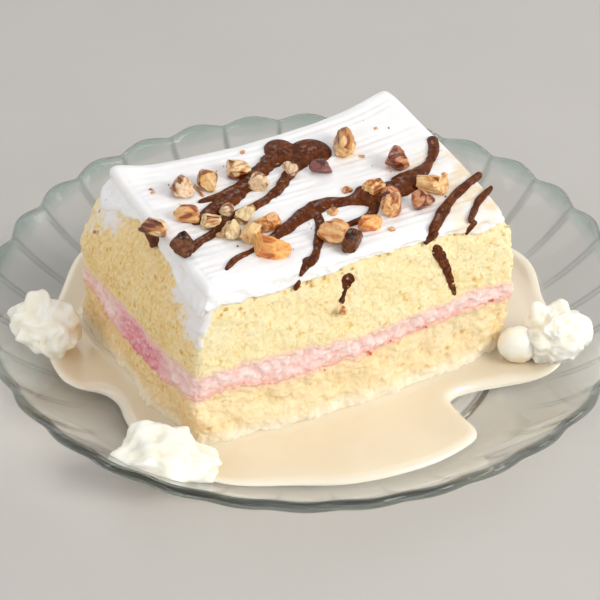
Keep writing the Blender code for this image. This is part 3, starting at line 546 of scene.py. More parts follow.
# %% Corners and outline
CAKE_HEIGHTS = (5.0, 22.0, 38.0, 51.0, 58.0)
CORNERS = (
    ((-54.8, -37.2), (-54.8, -36.4), (-52.4, -34.6), (-48.6, -32.6), (-46.0, -30.6)),
    ((51.6, -33.6), (54.6, -34.2), (56.6, -33.8), (55.0, -33.0), (50.2, -31.2)),
    ((52.0, 41.5), (51.5, 41.8), (50.0, 41.8), (48.6, 41.6), (48.0, 41.4)),
    ((-63.2, 38.5), (-60.5, 39.0), (-61.5, 39.2), (-55.6, 39.2), (-48.4, 39.0)),
)
SWELLS = (
    (5.8, 2.6, 1.4, 0.5, 0.3),
    (1.0, 2.0, 2.5, 2.4, 2.2),
    (2.5, 0.0, -3.0, -5.0, -5.6),
    (0.8, 1.6, 1.0, 0.2, 0.3),
)
OUTWARD = ((0, -1), (1, 0), (0, 1), (-1, 0))
SIDE_LENGTHS = (106, 73, 106, 77)


def corner(side, height, grow):
    x, y = (np.interp(height, CAKE_HEIGHTS, [p[k] for p in CORNERS[side % 4]]) for k in (0, 1))
    before, after = OUTWARD[(side - 1) % 4], OUTWARD[side % 4]
    return x + grow * (before[0] + after[0]), y + grow * (before[1] + after[1])


def outline(place, height, grow=0.0):
    """X and Y of the outline at places and heights, moved out by grow."""
    place, height, grow = np.broadcast_arrays(np.asarray(place, float) % 4.0, height, grow)
    x, y = np.zeros(place.shape), np.zeros(place.shape)
    for side in range(4):
        pick = np.floor(place) == side
        share = place[pick] - side
        start = corner(side, height[pick], grow[pick])
        end = corner(side + 1, height[pick], grow[pick])
        swell = np.interp(height[pick], CAKE_HEIGHTS, SWELLS[side]) * 4 * share * (1 - share)
        x[pick] = start[0] + (end[0] - start[0]) * share + OUTWARD[side][0] * swell
        y[pick] = start[1] + (end[1] - start[1]) * share + OUTWARD[side][1] * swell
    return x, y


def places(counts):
    return np.concatenate([side + np.arange(count) / count for side, count in enumerate(counts)])


def soften(ring, steps):
    """Rounds the corners of closed rings, which run along the last axis."""
    if steps < 1:
        return ring
    weights = steps + 1 - np.abs(np.arange(-steps, steps + 1))
    return sum(w * np.roll(ring, s, axis=-1)
               for w, s in zip(weights / weights.sum(), range(-steps, steps + 1)))


def skin(place, height, grow, round_steps):
    """Points of rounded rings, and the way out of the slice at each of them."""
    x, y = (soften(axis, round_steps) for axis in outline(place, height, grow))
    along_x = np.roll(x, -1, -1) - np.roll(x, 1, -1)
    along_y = np.roll(y, -1, -1) - np.roll(y, 1, -1)
    length = np.hypot(along_x, along_y) + 1e-9
    points = np.stack([x, y, np.broadcast_to(height, x.shape)], -1)
    out = np.stack([along_y / length, -along_x / length, np.zeros(x.shape)], -1)
    return points, out


def read_edge(stops, place, column=1):
    """Value at places around the slice, with soft bends between the stops."""
    stops = [(s[0], s[column]) for s in stops]
    stops.append((4.0, stops[0][1]))
    place = np.asarray(place, float) % 4.0
    result = np.zeros(place.shape)
    for (start, low), (end, high) in zip(stops, stops[1:]):
        pick = (place >= start) & (place <= end)
        result[pick] = low + (high - low) * smooth_step(place[pick], start, end)
    return result


print("front face at mid height:", [np.round(v, 1).tolist() for v in outline([0, 0.5, 0.999], 35.0)])

# %% [markdown]
# ## Sponge
#
# Sponge is a foam that was baked stiff and cut open by the knife: round grains of
# crumb with crevices between them, and here and there a real hole.  Both are
# relief in the mesh.  A crevice lies where smooth noise passes nought; a hole is a
# dent round one of Voronoi noise's seeds.  How deep a point lies is painted on the
# mesh as "pit", and the finish paints shade into the pits and holes: it turns them
# darker and golden, because light is caught in them.


# %% Holes and crumb
CRUMB_SIZE = 6.5
FINE_CRUMB = 0.45
LOWER_CRUMB = 1.1
UPPER_CRUMB = 0.6
FILLING_CRUMB = 0.8
SHUFFLE_WAY = (12.9898, 78.233, 37.719)
SHUFFLE_SIZE = 43758.5453
SOAKED_MARKS = (               # x, y, z, radius, depth (a ledge stands out: below nought)
    (-33.0, -40.0, 19.5, 4.0, 1.6), (-6.0, -40.5, 14.0, 5.0, 2.0),
    (-14.0, -40.0, 20.0, 3.5, 1.2), (17.0, -39.0, 12.5, 4.5, 1.3),
    (23.0, -37.0, 19.0, 3.5, 1.2), (-59.0, -10.0, 8.0, 6.5, -2.2),
)
FILLING_EDGES = (
    (0.00, 24.5, 31.0), (0.10, 27.0, 32.3), (0.25, 24.2, 32.4), (0.50, 25.2, 30.8),
    (0.70, 27.6, 32.2), (0.85, 28.8, 34.0), (1.00, 27.2, 32.0), (1.50, 26.0, 31.5),
    (2.00, 25.5, 31.0), (2.50, 26.5, 32.0), (3.00, 23.2, 28.2), (3.40, 20.9, 31.6),
    (3.70, 21.6, 30.2),
)


def seed_value(points):
    """A steady random number from nought to one for each seed point."""
    return np.modf(np.abs(np.sin(points @ np.array(SHUFFLE_WAY)) * SHUFFLE_SIZE))[0]


def holes(points, spacing, share, smallest, largest):
    """How deep each point lies in a hole, from nought at the skin to one."""
    found = [noise.voronoi(Vector(p)) for p in (points / spacing).reshape(-1, 3).tolist()]
    depth = np.zeros(len(found))
    for near in (0, 1):
        distance = np.array([f[0][near] for f in found]) * spacing
        chance = seed_value(np.array([f[1][near][:] for f in found]))
        radius = smallest + (largest - smallest) * np.clip((share - chance) / share, 0, 1) ** 1.5
        here = np.where(chance < share, 1 - smooth_step(distance, radius * 0.35, radius), 0.0)
        depth = np.maximum(depth, here)
    return depth.reshape(points.shape[:-1])


def grains(points, size, seed):
    """Round grains of crumb: nought in the crevices between them, one on their tops."""
    return np.clip(2.4 * np.abs(lumps(points, size, seed)), 0.0, 1.0)


def crumb(points, strength):
    """The solid's own coarse relief, so that the fine piece lies where it does."""
    relief = strength * (lumps(points, CRUMB_SIZE) + 0.5 * lumps(points, CRUMB_SIZE * FINE_CRUMB))
    for x, y, z, radius, depth in SOAKED_MARKS:
        distance = np.linalg.norm(points - np.array([x, y, z]), axis=-1) / radius
        relief = relief - depth * np.exp(-distance ** 2)
    return relief


print("holes at three points:", holes(np.array([[0, 0, 0], [1, 1, 1], [2, 5, 3.0]]), 1.5, 0.6, 0.4, 1.0))


# %% A layer between two wavy edges
LAYER_STEP = 0.45
LAYER_ROUNDING = 4.0
CAP_SHARE = 0.8


def layer_points(low, high, rows, relief_at, caps):
    """Rings of a layer from its lower to its upper edge, with a flat cap at each end."""
    place = places([round(length / LAYER_STEP) for length in SIDE_LENGTHS])
    share = np.linspace(0, 1, rows)[:, None]
    height = low(place) + (high(place) - low(place)) * share
    points, out = skin(place[None, :], height, 0.0, round(LAYER_ROUNDING / LAYER_STEP))
    relief, painted = relief_at(points, np.broadcast_to(place, height.shape), height)
    points = points + out * relief[..., None]
    middle = points.mean((0, 1))
    ends = []
    for ring, cap in ((points[0], caps[0]), (points[-1], caps[1])):
        inner = middle + (ring - middle) * CAP_SHARE
        inner[:, 2] = cap
        ends.append(inner)
    rings = np.concatenate([ends[0][None], points, ends[1][None]])
    painted = {k: np.concatenate([v[:1], v, v[-1:]]).ravel() for k, v in painted.items()}
    columns = len(place)
    faces = rings_to_faces(rows + 2, columns)
    faces.append(tuple(range(columns))[::-1])
    faces.append(tuple(range((rows + 1) * columns, (rows + 2) * columns)))
    return rings.reshape(-1, 3), faces, painted


HANG_EDGE = (
    (0.00, 50.5), (0.06, 53.0), (0.35, 54.0), (0.50, 56.2), (0.76, 56.9), (0.85, 55.5),
    (0.90, 53.6), (1.00, 55.0), (1.30, 56.0), (1.70, 55.4), (2.00, 54.6), (2.50, 55.6),
    (3.00, 53.2), (3.07, 50.2), (3.20, 53.5), (3.35, 56.2), (3.50, 56.8), (3.62, 55.0),
    (3.75, 52.0), (3.85, 49.4), (3.94, 48.4),
)
SPONGE_TOP = 57.2
POOL_LEVEL = 7.6


def wobble(place, size, seed):
    """Noise along a line once round the slice, with waves of a size in millimetres."""
    turn = np.asarray(place, float) * math.pi / 2
    loop = np.stack([58 * np.cos(turn), 58 * np.sin(turn), np.full(turn.shape, seed)], -1)
    return lumps(loop, size)


def filling_low(place):
    return read_edge(FILLING_EDGES, place, 1) + 0.9 * wobble(place, 4.0, 2.0) + 0.5 * wobble(place, 1.5, 3.0)


def filling_high(place):
    return read_edge(FILLING_EDGES, place, 2) + 1.0 * wobble(place, 4.5, 7.0) + 0.6 * wobble(place, 1.4, 9.0)


def smeared(points, place, height):
    """Where icing was wiped over the sponge, from nought to one; grains poke through."""
    left_run, front_run = (4.0 - place) * SIDE_LENGTHS[3], place * SIDE_LENGTHS[0]
    left_reach = np.interp(height, (31, 37, 40, 46, 54), (0.5, 3.0, 9.0, 19.0, 26.0))
    front_reach = np.interp(height, (34, 44, 52), (0.2, 0.8, 2.5))
    corner = 1 - smooth_step(np.minimum(left_run / left_reach, front_run / front_reach), 0.3, 1.4)
    corner = corner * np.interp(height, (38, 44, 50), (0.0, 0.65, 1.0))
    back_left = np.exp(-((place - 3.13) / 0.13) ** 2) * smooth_step(height, 40, 54)
    streaks = lumps(points * (1.0, 1.0, 0.5), 4.0, 3.1) + 0.8 * lumps(points, 1.6, 6.1)
    return smooth_step(np.maximum(corner, back_left) + 0.5 * streaks - 0.12, 0.0, 0.95)


def short_face(place):
    """One on the short cut face at the left, nought on the others."""
    return smooth_step(place % 4.0, 3.0, 3.1) * (1 - smooth_step(place % 4.0, 3.93, 4.0))


def lower_relief(points, place, height):
    """Wet sponge: coarse crags, with its holes half closed by milk near the pool."""
    coarse = crumb(points, LOWER_CRUMB)
    clump, grain = grains(points, 2.6, 9.0), grains(points, 1.0, 2.0)
    wide = holes(points, 5.0, 0.35, 0.6, 1.7)
    wet = 1 - smooth_step(height, POOL_LEVEL + 1.0, POOL_LEVEL + 11.0)
    rough = 0.42 * (clump - 0.5) + 0.3 * (grain - 0.5)
    near_pink = 1 - smooth_step(filling_low(place) - height, 0.0, 3.0)
    pit = 0.5 * (1 - clump) * (1 - grain) + 0.9 * wide
    painted = {"pit": np.clip(pit, 0, 1) * (1 - 0.35 * wet), "wet": wet, "pink": near_pink,
               "hole": wide, "shade": short_face(place)}
    return coarse + rough - 0.8 * wide, painted


def upper_relief(points, place, height):
    """Drier sponge: fine grains and a few holes, smooth where the icing hangs over it."""
    bare = smooth_step(read_edge(HANG_EDGE, place) - height, 0.3, 2.5)
    coarse = crumb(points, UPPER_CRUMB) * bare
    smear = smeared(points, place, height)
    clump, grain = grains(points, 2.4, 4.0), grains(points, 1.0, 7.0)
    wide = holes(points, 4.2, 0.3, 0.45, 1.2)
    rough = (0.24 * (clump - 0.5) + 0.26 * (grain - 0.5) - 0.6 * wide) * (0.25 + 0.75 * bare)
    near_pink = 1 - smooth_step(height - filling_high(place), 0.0, 3.2)
    pit = 0.55 * (1 - clump) * (1 - grain) + 0.35 * (1 - grain) ** 2 + 0.8 * wide
    painted = {"pit": np.clip(pit, 0, 1) * (1 - smear), "smear": smear, "pink": near_pink,
               "bare": bare, "hole": wide, "shade": short_face(place)}
    return coarse + rough * (1 - 0.4 * smear) + 0.5 * smear * bare, painted


def filling_relief(points, place, height):
    """Whipped filling: round foam lumps that bulge from between the layers."""
    coarse = crumb(points, FILLING_CRUMB)
    lump = 0.5 + 0.7 * lumps(points, 2.6, 1.0)
    fine = 0.5 + 0.8 * lumps(points, 1.0, 6.0)
    low_edge = 1 - smooth_step(height - filling_low(place), 0.2, 2.6)
    high_edge = 1 - smooth_step(filling_high(place) - height, 0.0, 1.8)
    painted = {"foam": np.clip(0.6 * lump + 0.5 * fine, 0, 1), "low_edge": low_edge,
               "high_edge": high_edge,
               "left": smooth_step(place, 3.3, 3.5) * (1 - smooth_step(place, 3.66, 3.85)),
               "jam": holes(points, 2.2, 0.3, 0.4, 0.9)}
    return coarse + 0.9 * (lump - 0.5) + 0.55 * (fine - 0.5) + 0.1, painted


print("layers have a point every", LAYER_STEP, "mm round the slice")


# %% The sponge's finish
def sponge_finish(name, crest, hollow_shade):
    """Pale crumb with painted shade: darker, golden crevices and holes and a darker short face; and a grain
    finer than the mesh.
    """
    finish = Finish(name)
    fine = finish.cloud(0.7, detail=4.0, rough=0.65)
    broad = finish.cloud(11.0, detail=2.0, shift=0.3)
    tone = finish.mix(broad.step(0.3, 0.7), crest[0], crest[1])
    # painted shade: the short face, which is in shade, is darker and warmer
    shade = finish.painted("shade")
    tone = finish.mix(shade * 0.7, tone, "#F5D392")
    # painted light and shade: lighter and darker grains on the shaded short face
    grain_light_and_shade = finish.cloud(1.4, detail=4.0, rough=0.65, shift=0.15) * 0.7 + broad * 0.3
    tone = finish.mix(grain_light_and_shade.step(0.5, 0.62) * shade * 0.5, tone, "#FFF3D2")
    tone = finish.mix(grain_light_and_shade.step(0.5, 0.38) * shade * 0.4, tone, "#D8A650")
    # painted shade in the crevices: the deeper a pit, the darker and more golden
    deep = (finish.painted("pit") * 1.15 + 0.5 - fine).step(0.12, 0.95)
    tone = finish.mix(deep * 0.5, tone, hollow_shade)
    # golden pore specks, stronger on the shaded short face as painted shade
    pores = finish.cloud(1.7, detail=2.5, stretch=(1.0, 1.0, 0.65), shift=0.7).step(0.57, 0.72)
    tone = finish.mix(pores * (0.55 + 0.3 * shade), tone, "#E2AE48")
    # painted shade in the holes
    tone = finish.mix(finish.painted("hole").step(0.5, 1.0) * 0.6, tone, "#DDAA45")
    return finish, tone, fine


dry, tone, fine = sponge_finish("dry_crumb", ("#FDEFC4", "#FCE9B6"), "#EFC96E")
ragged = dry.cloud(1.6, detail=3.0, shift=0.5)
stained = (dry.painted("pink") + ragged * 0.9 - 0.45).step(0.25, 1.0)
tone = dry.mix(stained * 0.75, tone, "#F9CFC0")
wiped = (dry.painted("smear") + (ragged + fine) * 0.45 - 0.45).step(0.1, 0.95)
tone = dry.mix(wiped * 0.9, tone, "#F3F1F3")
dry.surface(Base_Color=tone, Roughness=0.85, Subsurface_Weight=0.2, Specular_IOR_Level=0.25,
            Subsurface_Radius=(1.0, 0.7, 0.4), Subsurface_Scale=0.0008,
            Normal=dry.bump(fine, 0.3))

soaked, tone, fine = sponge_finish("soaked_crumb", ("#FBE6BC", "#F9DFAE"), "#E8C078")
ragged = soaked.cloud(1.8, detail=3.0, shift=0.2)
stained = (soaked.painted("pink") + ragged * 0.9 - 0.5).step(0.3, 1.0)
tone = soaked.mix(stained * 0.65, tone, "#F8C6B2")
tone = soaked.mix(soaked.painted("wet") * 0.6, tone, "#F6E2BC")
foam = (soaked.painted("wet") + ragged * 0.9 - 1.0).step(0.05, 0.55)
tone = soaked.mix(foam * 0.7, tone, "#FBF1DE")
soaked.surface(Base_Color=tone, Roughness=0.6, Subsurface_Weight=0.25, Specular_IOR_Level=0.35,
               Subsurface_Radius=(1.0, 0.75, 0.45), Subsurface_Scale=0.001,
               Normal=soaked.bump(fine, 0.25))
print("crumb finishes have", len(dry.tree.nodes), "and", len(soaked.tree.nodes), "nodes")

# %% [markdown]
# ## The two layers and the filling
#
# The lower layer stands in the milk and reaches down into the glass's skin, so
# that no air shows under it.  Each layer reaches a little into the next for the
# same reason, as soft cake does.

# %% Bake the layers
LAYER_LAP = 0.25
FOOT_LAP = 0.1
SPONGE_FOOT = FLOOR_HEIGHT + GLASS / 2 - FOOT_LAP


def level(height):
    """An edge that stays at one height all round."""
    return lambda place: np.full(np.shape(place), height)


points, faces, painted = layer_points(
    level(SPONGE_FOOT), lambda p: filling_low(p) + LAYER_LAP, 52, lower_relief, (4.6, 25.4))
make_piece("sponge_lower_crumb", points, faces, soaked, ["sponge_lower"], "soaked_sponge", painted)

points, faces, painted = layer_points(
    lambda p: filling_high(p) - LAYER_LAP, level(SPONGE_TOP), 62, upper_relief, (31.4, SPONGE_TOP))
make_piece("sponge_upper_crumb", points, faces, dry, ["sponge_upper"], "sponge", painted)

pink = Finish("pink_filling")
ragged = pink.cloud(1.2, detail=3.0)
tone = pink.mix((pink.painted("foam") * 0.9 + ragged * 0.6 - 0.2).step(0.2, 0.9), "#F5C2B8", "#FCE3DC")
tone = pink.mix((pink.painted("low_edge") + ragged * 0.8 - 0.4).step(0.3, 1.0) * 0.7, tone, "#F5B49C")
tone = pink.mix(pink.painted("left") * (ragged * 1.6 - 0.2).step(0.1, 0.9) * 0.9, tone, "#E5708C")
tone = pink.mix((pink.painted("high_edge") + ragged - 0.6).step(0.3, 1.0) * 0.6, tone, "#F9D6C4")
tone = pink.mix(pink.painted("jam") * pink.painted("low_edge") * 0.8, tone, "#E0603C")
pink.surface(Base_Color=tone, Roughness=0.5, Subsurface_Weight=0.3, Subsurface_Scale=0.001,
             Subsurface_Radius=(1.0, 0.5, 0.4), Normal=pink.bump(pink.cloud(0.5, detail=3.0), 0.25))
points, faces, painted = layer_points(
    lambda p: filling_low(p) - LAYER_LAP, lambda p: filling_high(p) + LAYER_LAP, 20,
    filling_relief, (25.2, 31.6))
make_piece("pink_foam", points, faces, pink, ["filling"], "pink_filling", painted)

# %% [markdown]
# ## Icing
#
# White cream icing was spread over the sponge and combed from left to right, so
# its ridges follow the long faces and sweep round to the far right corner.  It
# hangs over the edges in a soft ragged hem.  The top is a patch stretched between
# the four edges, so that the comb's grooves bend as the edges do; the sides are
# rings that thin out towards the hem and dip into the sponge there.

# %% The icing's height
ICING_HEIGHT = 60.7
COMB_RELIEF = 0.45
ICING_PROUD = 1.4
ICING_SHOULDER = 2.4
ICING_WAVE = 0.3
ICING_WAVE_LENGTH = 30.0
CORNER_LIFTS = ((-48.0, 39.0, 7.0, 1.8), (49.0, 41.0, 15.0, 2.2))
GROOVES = 23


def icing_height(x, y):
    """Crest of the icing, without the comb's grooves."""
    x, y = np.asarray(x, float), np.asarray(y, float)
    spot = np.stack([x, y, np.zeros(x.shape)], -1)
    height = ICING_HEIGHT + COMB_RELIEF + ICING_WAVE * lumps(spot, ICING_WAVE_LENGTH)
    for lift_x, lift_y, radius, lift in CORNER_LIFTS:
        height = height + lift * np.exp(-((x - lift_x) ** 2 + (y - lift_y) ** 2) / radius ** 2)
    return height


def comb_marks(x, y, share):
    """How far the icing lies below its crest, with share the way from front to back."""
    line = np.stack([x / 30.0, share * GROOVES * 0.7, np.zeros(x.shape)], -1)
    drift = 0.013 * lumps(line, 1.0, 4.0) + 0.004 * lumps(line * (3, 2, 1), 1.0, 8.0)
    tooth = (1 - np.cos(2 * np.pi * (share + drift) * GROOVES)) / 2
    second = (1 - np.cos(2 * np.pi * (share - drift) * GROOVES * 0.43 + 1.3)) / 2
    press = smooth_step(lumps(line * (1.6, 0.5, 1), 1.0, 6.0), -0.45, 0.3) * (1 + 0.6 * lumps(line, 1.0))
    fleck = lumps(np.stack([x / 6.0, y / 1.0, np.zeros(x.shape)], -1), 1.0, 2.0)
    return COMB_RELIEF * (0.6 * press * tooth + 0.3 * second ** 2) + 0.07 * fleck


print("icing crest at the middle:", round(float(icing_height(0.0, 0.0)), 2), "mm")

# %% The icing's sides and top
ICING_STEP = 0.5
ICING_LENGTHS = (100, 74, 100, 74)
ICING_ROUNDING = 3.0
SHOULDER_TURNS = (0, 18, 36, 54, 72, 90)
INSIDE_SPONGE = -0.9
COMBED_LENGTH, COMBED_DEPTH = 100, 73

icing_counts = [round(length / ICING_STEP) for length in ICING_LENGTHS]
icing_place = places(icing_counts)
icing_round = round(ICING_ROUNDING / ICING_STEP)
hem_at_corner = np.exp(-((np.minimum(icing_place, 4.0 - icing_place) + 0.02) / 0.12) ** 2)
hem = (read_edge(HANG_EDGE, icing_place) + 1.6 * hem_at_corner + 1.1 * wobble(icing_place, 5.0, 1.0)
       + (0.8 + 0.8 * hem_at_corner) * wobble(icing_place, 1.8, 4.0) + 0.4 * wobble(icing_place, 0.9, 6.0))


def icing_sides():
    """Rings from the top edge down to the hem, and back up inside the sponge."""
    rings = []
    for turn in (math.radians(a) for a in SHOULDER_TURNS):
        top = ICING_HEIGHT - ICING_SHOULDER * (1 - math.cos(turn))
        out = ICING_PROUD - ICING_SHOULDER * (1 - math.sin(turn))
        points, _ = skin(icing_place, np.full(icing_place.shape, top), out, icing_round)
        points[:, 2] += icing_height(points[:, 0], points[:, 1]) - COMB_RELIEF - ICING_HEIGHT
        points[:, 2] -= 0.5 * np.clip(wobble(icing_place, 7.0, 2.0), 0, 1) * math.sin(turn)
        rings.append(points)
    start = rings[-1][:, 2]
    for share in np.linspace(0, 1, 22)[1:]:
        height = start + (hem - start) * share
        thick = ICING_PROUD * (1 - smooth_step(share, 0.55, 1.02) ** 1.5) - 0.25 * share
        points, out = skin(icing_place, height, thick, icing_round)
        bulge = 0.7 * lumps(points, 6.0, 3.0) + 0.55 * lumps(points, 2.8, 6.0) + 0.25 * lumps(points, 1.2)
        points += out * (bulge * math.sin(math.pi * min(share + 0.08, 1.0)))[:, None]
        rings.append(points)
    for height in (hem + 0.8, np.full(hem.shape, SPONGE_TOP)):
        rings.append(skin(icing_place, height, INSIDE_SPONGE, icing_round)[0])
    return rings


def icing_top(edge):
    """Combed rows between the four parts of the top edge."""
    columns, rows = icing_counts[0], icing_counts[1]
    front, right = edge[:columns + 1], edge[columns:columns + rows + 1]
    back = edge[columns + rows:2 * columns + rows + 1][::-1]
    left = np.concatenate([edge[2 * columns + rows:], edge[:1]])[::-1]
    u = np.linspace(0, 1, columns + 1)[:, None, None]
    v = np.linspace(0, 1, rows + 1)[None, :, None]
    patch = (left[None] * (1 - u) + right[None] * u + front[:, None] * (1 - v) + back[:, None] * v
             - (front[0] * (1 - u) + front[-1] * u) * (1 - v) - (back[0] * (1 - u) + back[-1] * u) * v)
    x, y = patch[..., 0], patch[..., 1]
    share = np.broadcast_to(v[..., 0], x.shape)
    edge_gap = np.minimum(np.minimum(u, 1 - u) * COMBED_LENGTH, np.minimum(v, 1 - v) * COMBED_DEPTH)[..., 0]
    inside = smooth_step(edge_gap, 0.0, 2.5)
    marks = comb_marks(x, y, share)
    height = icing_height(x, y) - marks * (0.25 + 0.75 * inside) - COMB_RELIEF * (1 - inside)
    patch[..., 2] = np.where(edge_gap > 0, height, patch[..., 2])
    return patch, marks


side_rings = icing_sides()
patch, marks = icing_top(side_rings[0])
edge_count = len(icing_place)
columns, rows = icing_counts[0], icing_counts[1]
ring_index = np.arange(edge_count)
grid = np.full((columns + 1, rows + 1), -1)
grid[:, 0] = ring_index[:columns + 1]
grid[columns, :] = ring_index[columns:columns + rows + 1]
grid[:, rows] = ring_index[columns + rows:2 * columns + rows + 1][::-1]
grid[0, 1:] = ring_index[2 * columns + rows:][::-1][:rows]
inner = grid < 0
first_inner = edge_count * len(side_rings)
grid[inner] = first_inner + np.arange(inner.sum())
icing_points = np.concatenate([np.concatenate(side_rings), patch[inner]])
icing_faces = [face[::-1] for face in rings_to_faces(len(side_rings), edge_count)]
icing_faces.append(tuple(range(first_inner - edge_count, first_inner))[::-1])
icing_faces += [(int(grid[i, j]), int(grid[i + 1, j]), int(grid[i + 1, j + 1]), int(grid[i, j + 1]))
                for i in range(columns) for j in range(rows)]
print("icing patch is", patch.shape[:2], "points")

# %% Icing's finish
FAR_UNDER_TOP = 40.0
snow = Finish("white_cream_icing")
soft = snow.cloud(7.0, detail=2.0)
bubble = snow.bubbles(0.9)
tone = snow.mix(soft.step(0.3, 0.75), "#FBFAF8", "#F4F2F0")
# painted shade in the comb's grooves
tone = snow.mix(snow.painted("groove_shade") * 0.1, tone, "#E9E7E7")
wash = snow.cloud(9.0, detail=3.0, shift=0.4).step(0.36, 0.64) * snow.painted("milky")
tone = snow.mix(wash * 0.9, tone, "#EFDAB6")
stained = snow.painted("hem") * (0.3 + snow.cloud(2.0, shift=0.8).step(0.4, 0.7) * 0.4)
tone = snow.mix(stained, tone, "#F3E9CF")
snow.surface(Base_Color=tone, Roughness=0.42, Subsurface_Weight=0.35, Subsurface_Scale=0.0015,
             Subsurface_Radius=(1.0, 0.9, 0.8), Specular_IOR_Level=0.35,
             Normal=snow.bump(bubble.step(0.0, 0.35) + soft * 0.5, 0.06))

hem_below = np.concatenate([np.tile(hem, len(side_rings)), np.full(inner.sum(), FAR_UNDER_TOP)])
from_hem = icing_points[:, 2] - hem_below
groove_shade = np.zeros(len(icing_points))
groove_shade[first_inner:] = np.clip(marks[inner], 0, 1)
milky = smooth_step(icing_points[:, 0], 26, 44) * smooth_step(-icing_points[:, 1], -12, 4)
icing = make_piece("white_icing", icing_points, icing_faces, snow, ["icing"], "white_icing",
                   {"groove_shade": groove_shade, "milky": milky, "hem": 1 - smooth_step(from_hem, 0.0, 1.6)})
print("icing holds", round(face_outwards(icing.data) * 1e6, 1), "cm3")

# %% [markdown]
# ## Chocolate drizzle
#
# Thin chocolate was trailed from a spoon: each stroke is a rope with a round back
# that swells where the hand slowed down.  All strokes and the two blobs at their
# start are put in one mesh, and a voxel remesh melts them together, with the soft
# fillets that real strokes have where they meet.

# %% Routes of the strokes: x, y, width
DRIZZLE_RISE = 1.9
DRIZZLE_SPREAD = 1.17            # melting the strokes together shrinks them by as much
STROKES = {
    "long_back": ((1, 23, 7), (-3, 21, 6), (-9, 17, 5), (-16, 13, 4.5), (-23, 11, 3.5),
                  (-32, 10.5, 1.6)),
    "rope": ((-12.5, 14.5, 3), (-16, 12, 5), (-21, 8.5, 5.5), (-27, 5.5, 5.5), (-33, 3, 5),
             (-38, 1, 2.5)),
    "looped": ((8, 18, 6), (3, 15, 4.5), (-2, 11, 3.5), (-6, 7, 3), (-13, 3, 2.8),
               (-20, 0.5, 3.5), (-28, -1.5, 3.6), (-34, -6, 3), (-40, -8.5, 2.6),
               (-44.5, -12.5, 1.6)),
    "long_front": ((-38.5, -25, 1.4), (-33.5, -21, 2.2), (-26.5, -19, 2.2), (-18, -15.5, 3),
                   (-11, -12, 4.5), (-4, -8.5, 5), (3, -6.5, 5), (10, -8.5, 4.2),
                   (16, -9, 9), (22, -8.8, 7.6), (28, -9, 8), (33, -5.5, 7), (39, -3, 3.6),
                   (44.5, 2, 2.8), (48, 7, 3), (50, 12.5, 3)),
    "branch": ((-1, -9, 3), (-3, -16, 2.8), (-7, -23, 2.8), (-10.5, -28.5, 2.4),
               (-14.5, -32.6, 2.0)),
    "twig": ((17, -13, 3.2), (14, -17, 2.6), (8.5, -19, 2.2), (3, -19.6, 2.2)),
    "right": ((54.6, -12, 2), (46.5, -16.5, 2.8), (38, -22, 3.2), (29, -30.5, 3.0),
              (26.2, -33.4, 2.4)),
    "right_thin": ((54.2, -20, 1.2), (47.5, -24.5, 2.4), (42, -30, 1.8), (39.2, -33.2, 1.5)),
}
BLOBS = ((3.2, 25.2, 5.4, 7.2, 2.9), (11.2, 20.8, 7.0, 7.4, 3.1))     # x, y, half sizes, rise
BLOB_SINKS = 0.8
HEM_STROKES = (                  # side, then millimetres along it, height, width
    (0, ((36.0, 60.7, 1.8), (34.6, 60.4, 2.0), (33.0, 59.2, 1.9), (31.8, 57.3, 1.1))),
    (0, ((31.8, 56.2, 0.9), (30.7, 54.9, 1.3), (29.6, 53.6, 0.9))),
    (0, ((81.9, 59.6, 2.4), (79.9, 58.9, 2.4), (77.9, 57.8, 1.9), (75.9, 56.4, 0.9))),
    (0, ((96.2, 59.4, 1.5), (94.4, 58.4, 1.5), (92.3, 57.1, 1.1), (90.4, 55.8, 0.7))),
    (3, ((32.5, 56.8, 1.2), (36.0, 57.0, 2.4), (38.5, 57.4, 3.6), (40.5, 57.3, 4.0),
         (41.8, 56.8, 3.0))),
)
FRONT_DRIPS = (
    ((27.6, 54.6, 2.6), (29.6, 50.0, 3.2), (31.4, 45.6, 2.6), (33.0, 40.0, 1.9), (34.2, 35.6, 1.4)),
    ((-1.0, 53.4, 3.2), (-2.0, 51.0, 3.4), (-3.4, 47.6, 1.5), (-5.0, 44.8, 2.0)),
)
FRONT_START, FRONT_LENGTH = -49.4, 104.8
HEM_RISE, DRIP_RISE = 1.1, 0.75


def smooth_route(stops, step):
    """Even steps on a smooth curve through the stops, with the distance to each end."""
    stops = np.array(stops, float)
    stops = np.concatenate([[2 * stops[0] - stops[1]], stops, [2 * stops[-1] - stops[-2]]])
    fine = [smooth_curve(*four, 40) for four in zip(stops, stops[1:], stops[2:], stops[3:])]
    fine = np.concatenate(fine + [stops[-2:-1]])
    length = np.concatenate([[0], np.cumsum(np.hypot(*np.diff(fine[:, :2], axis=0).T))])
    goals = np.linspace(0, length[-1], max(4, round(length[-1] / step)))
    return np.stack([np.interp(goals, length, fine[:, k]) for k in range(3)], -1), goals, length[-1]


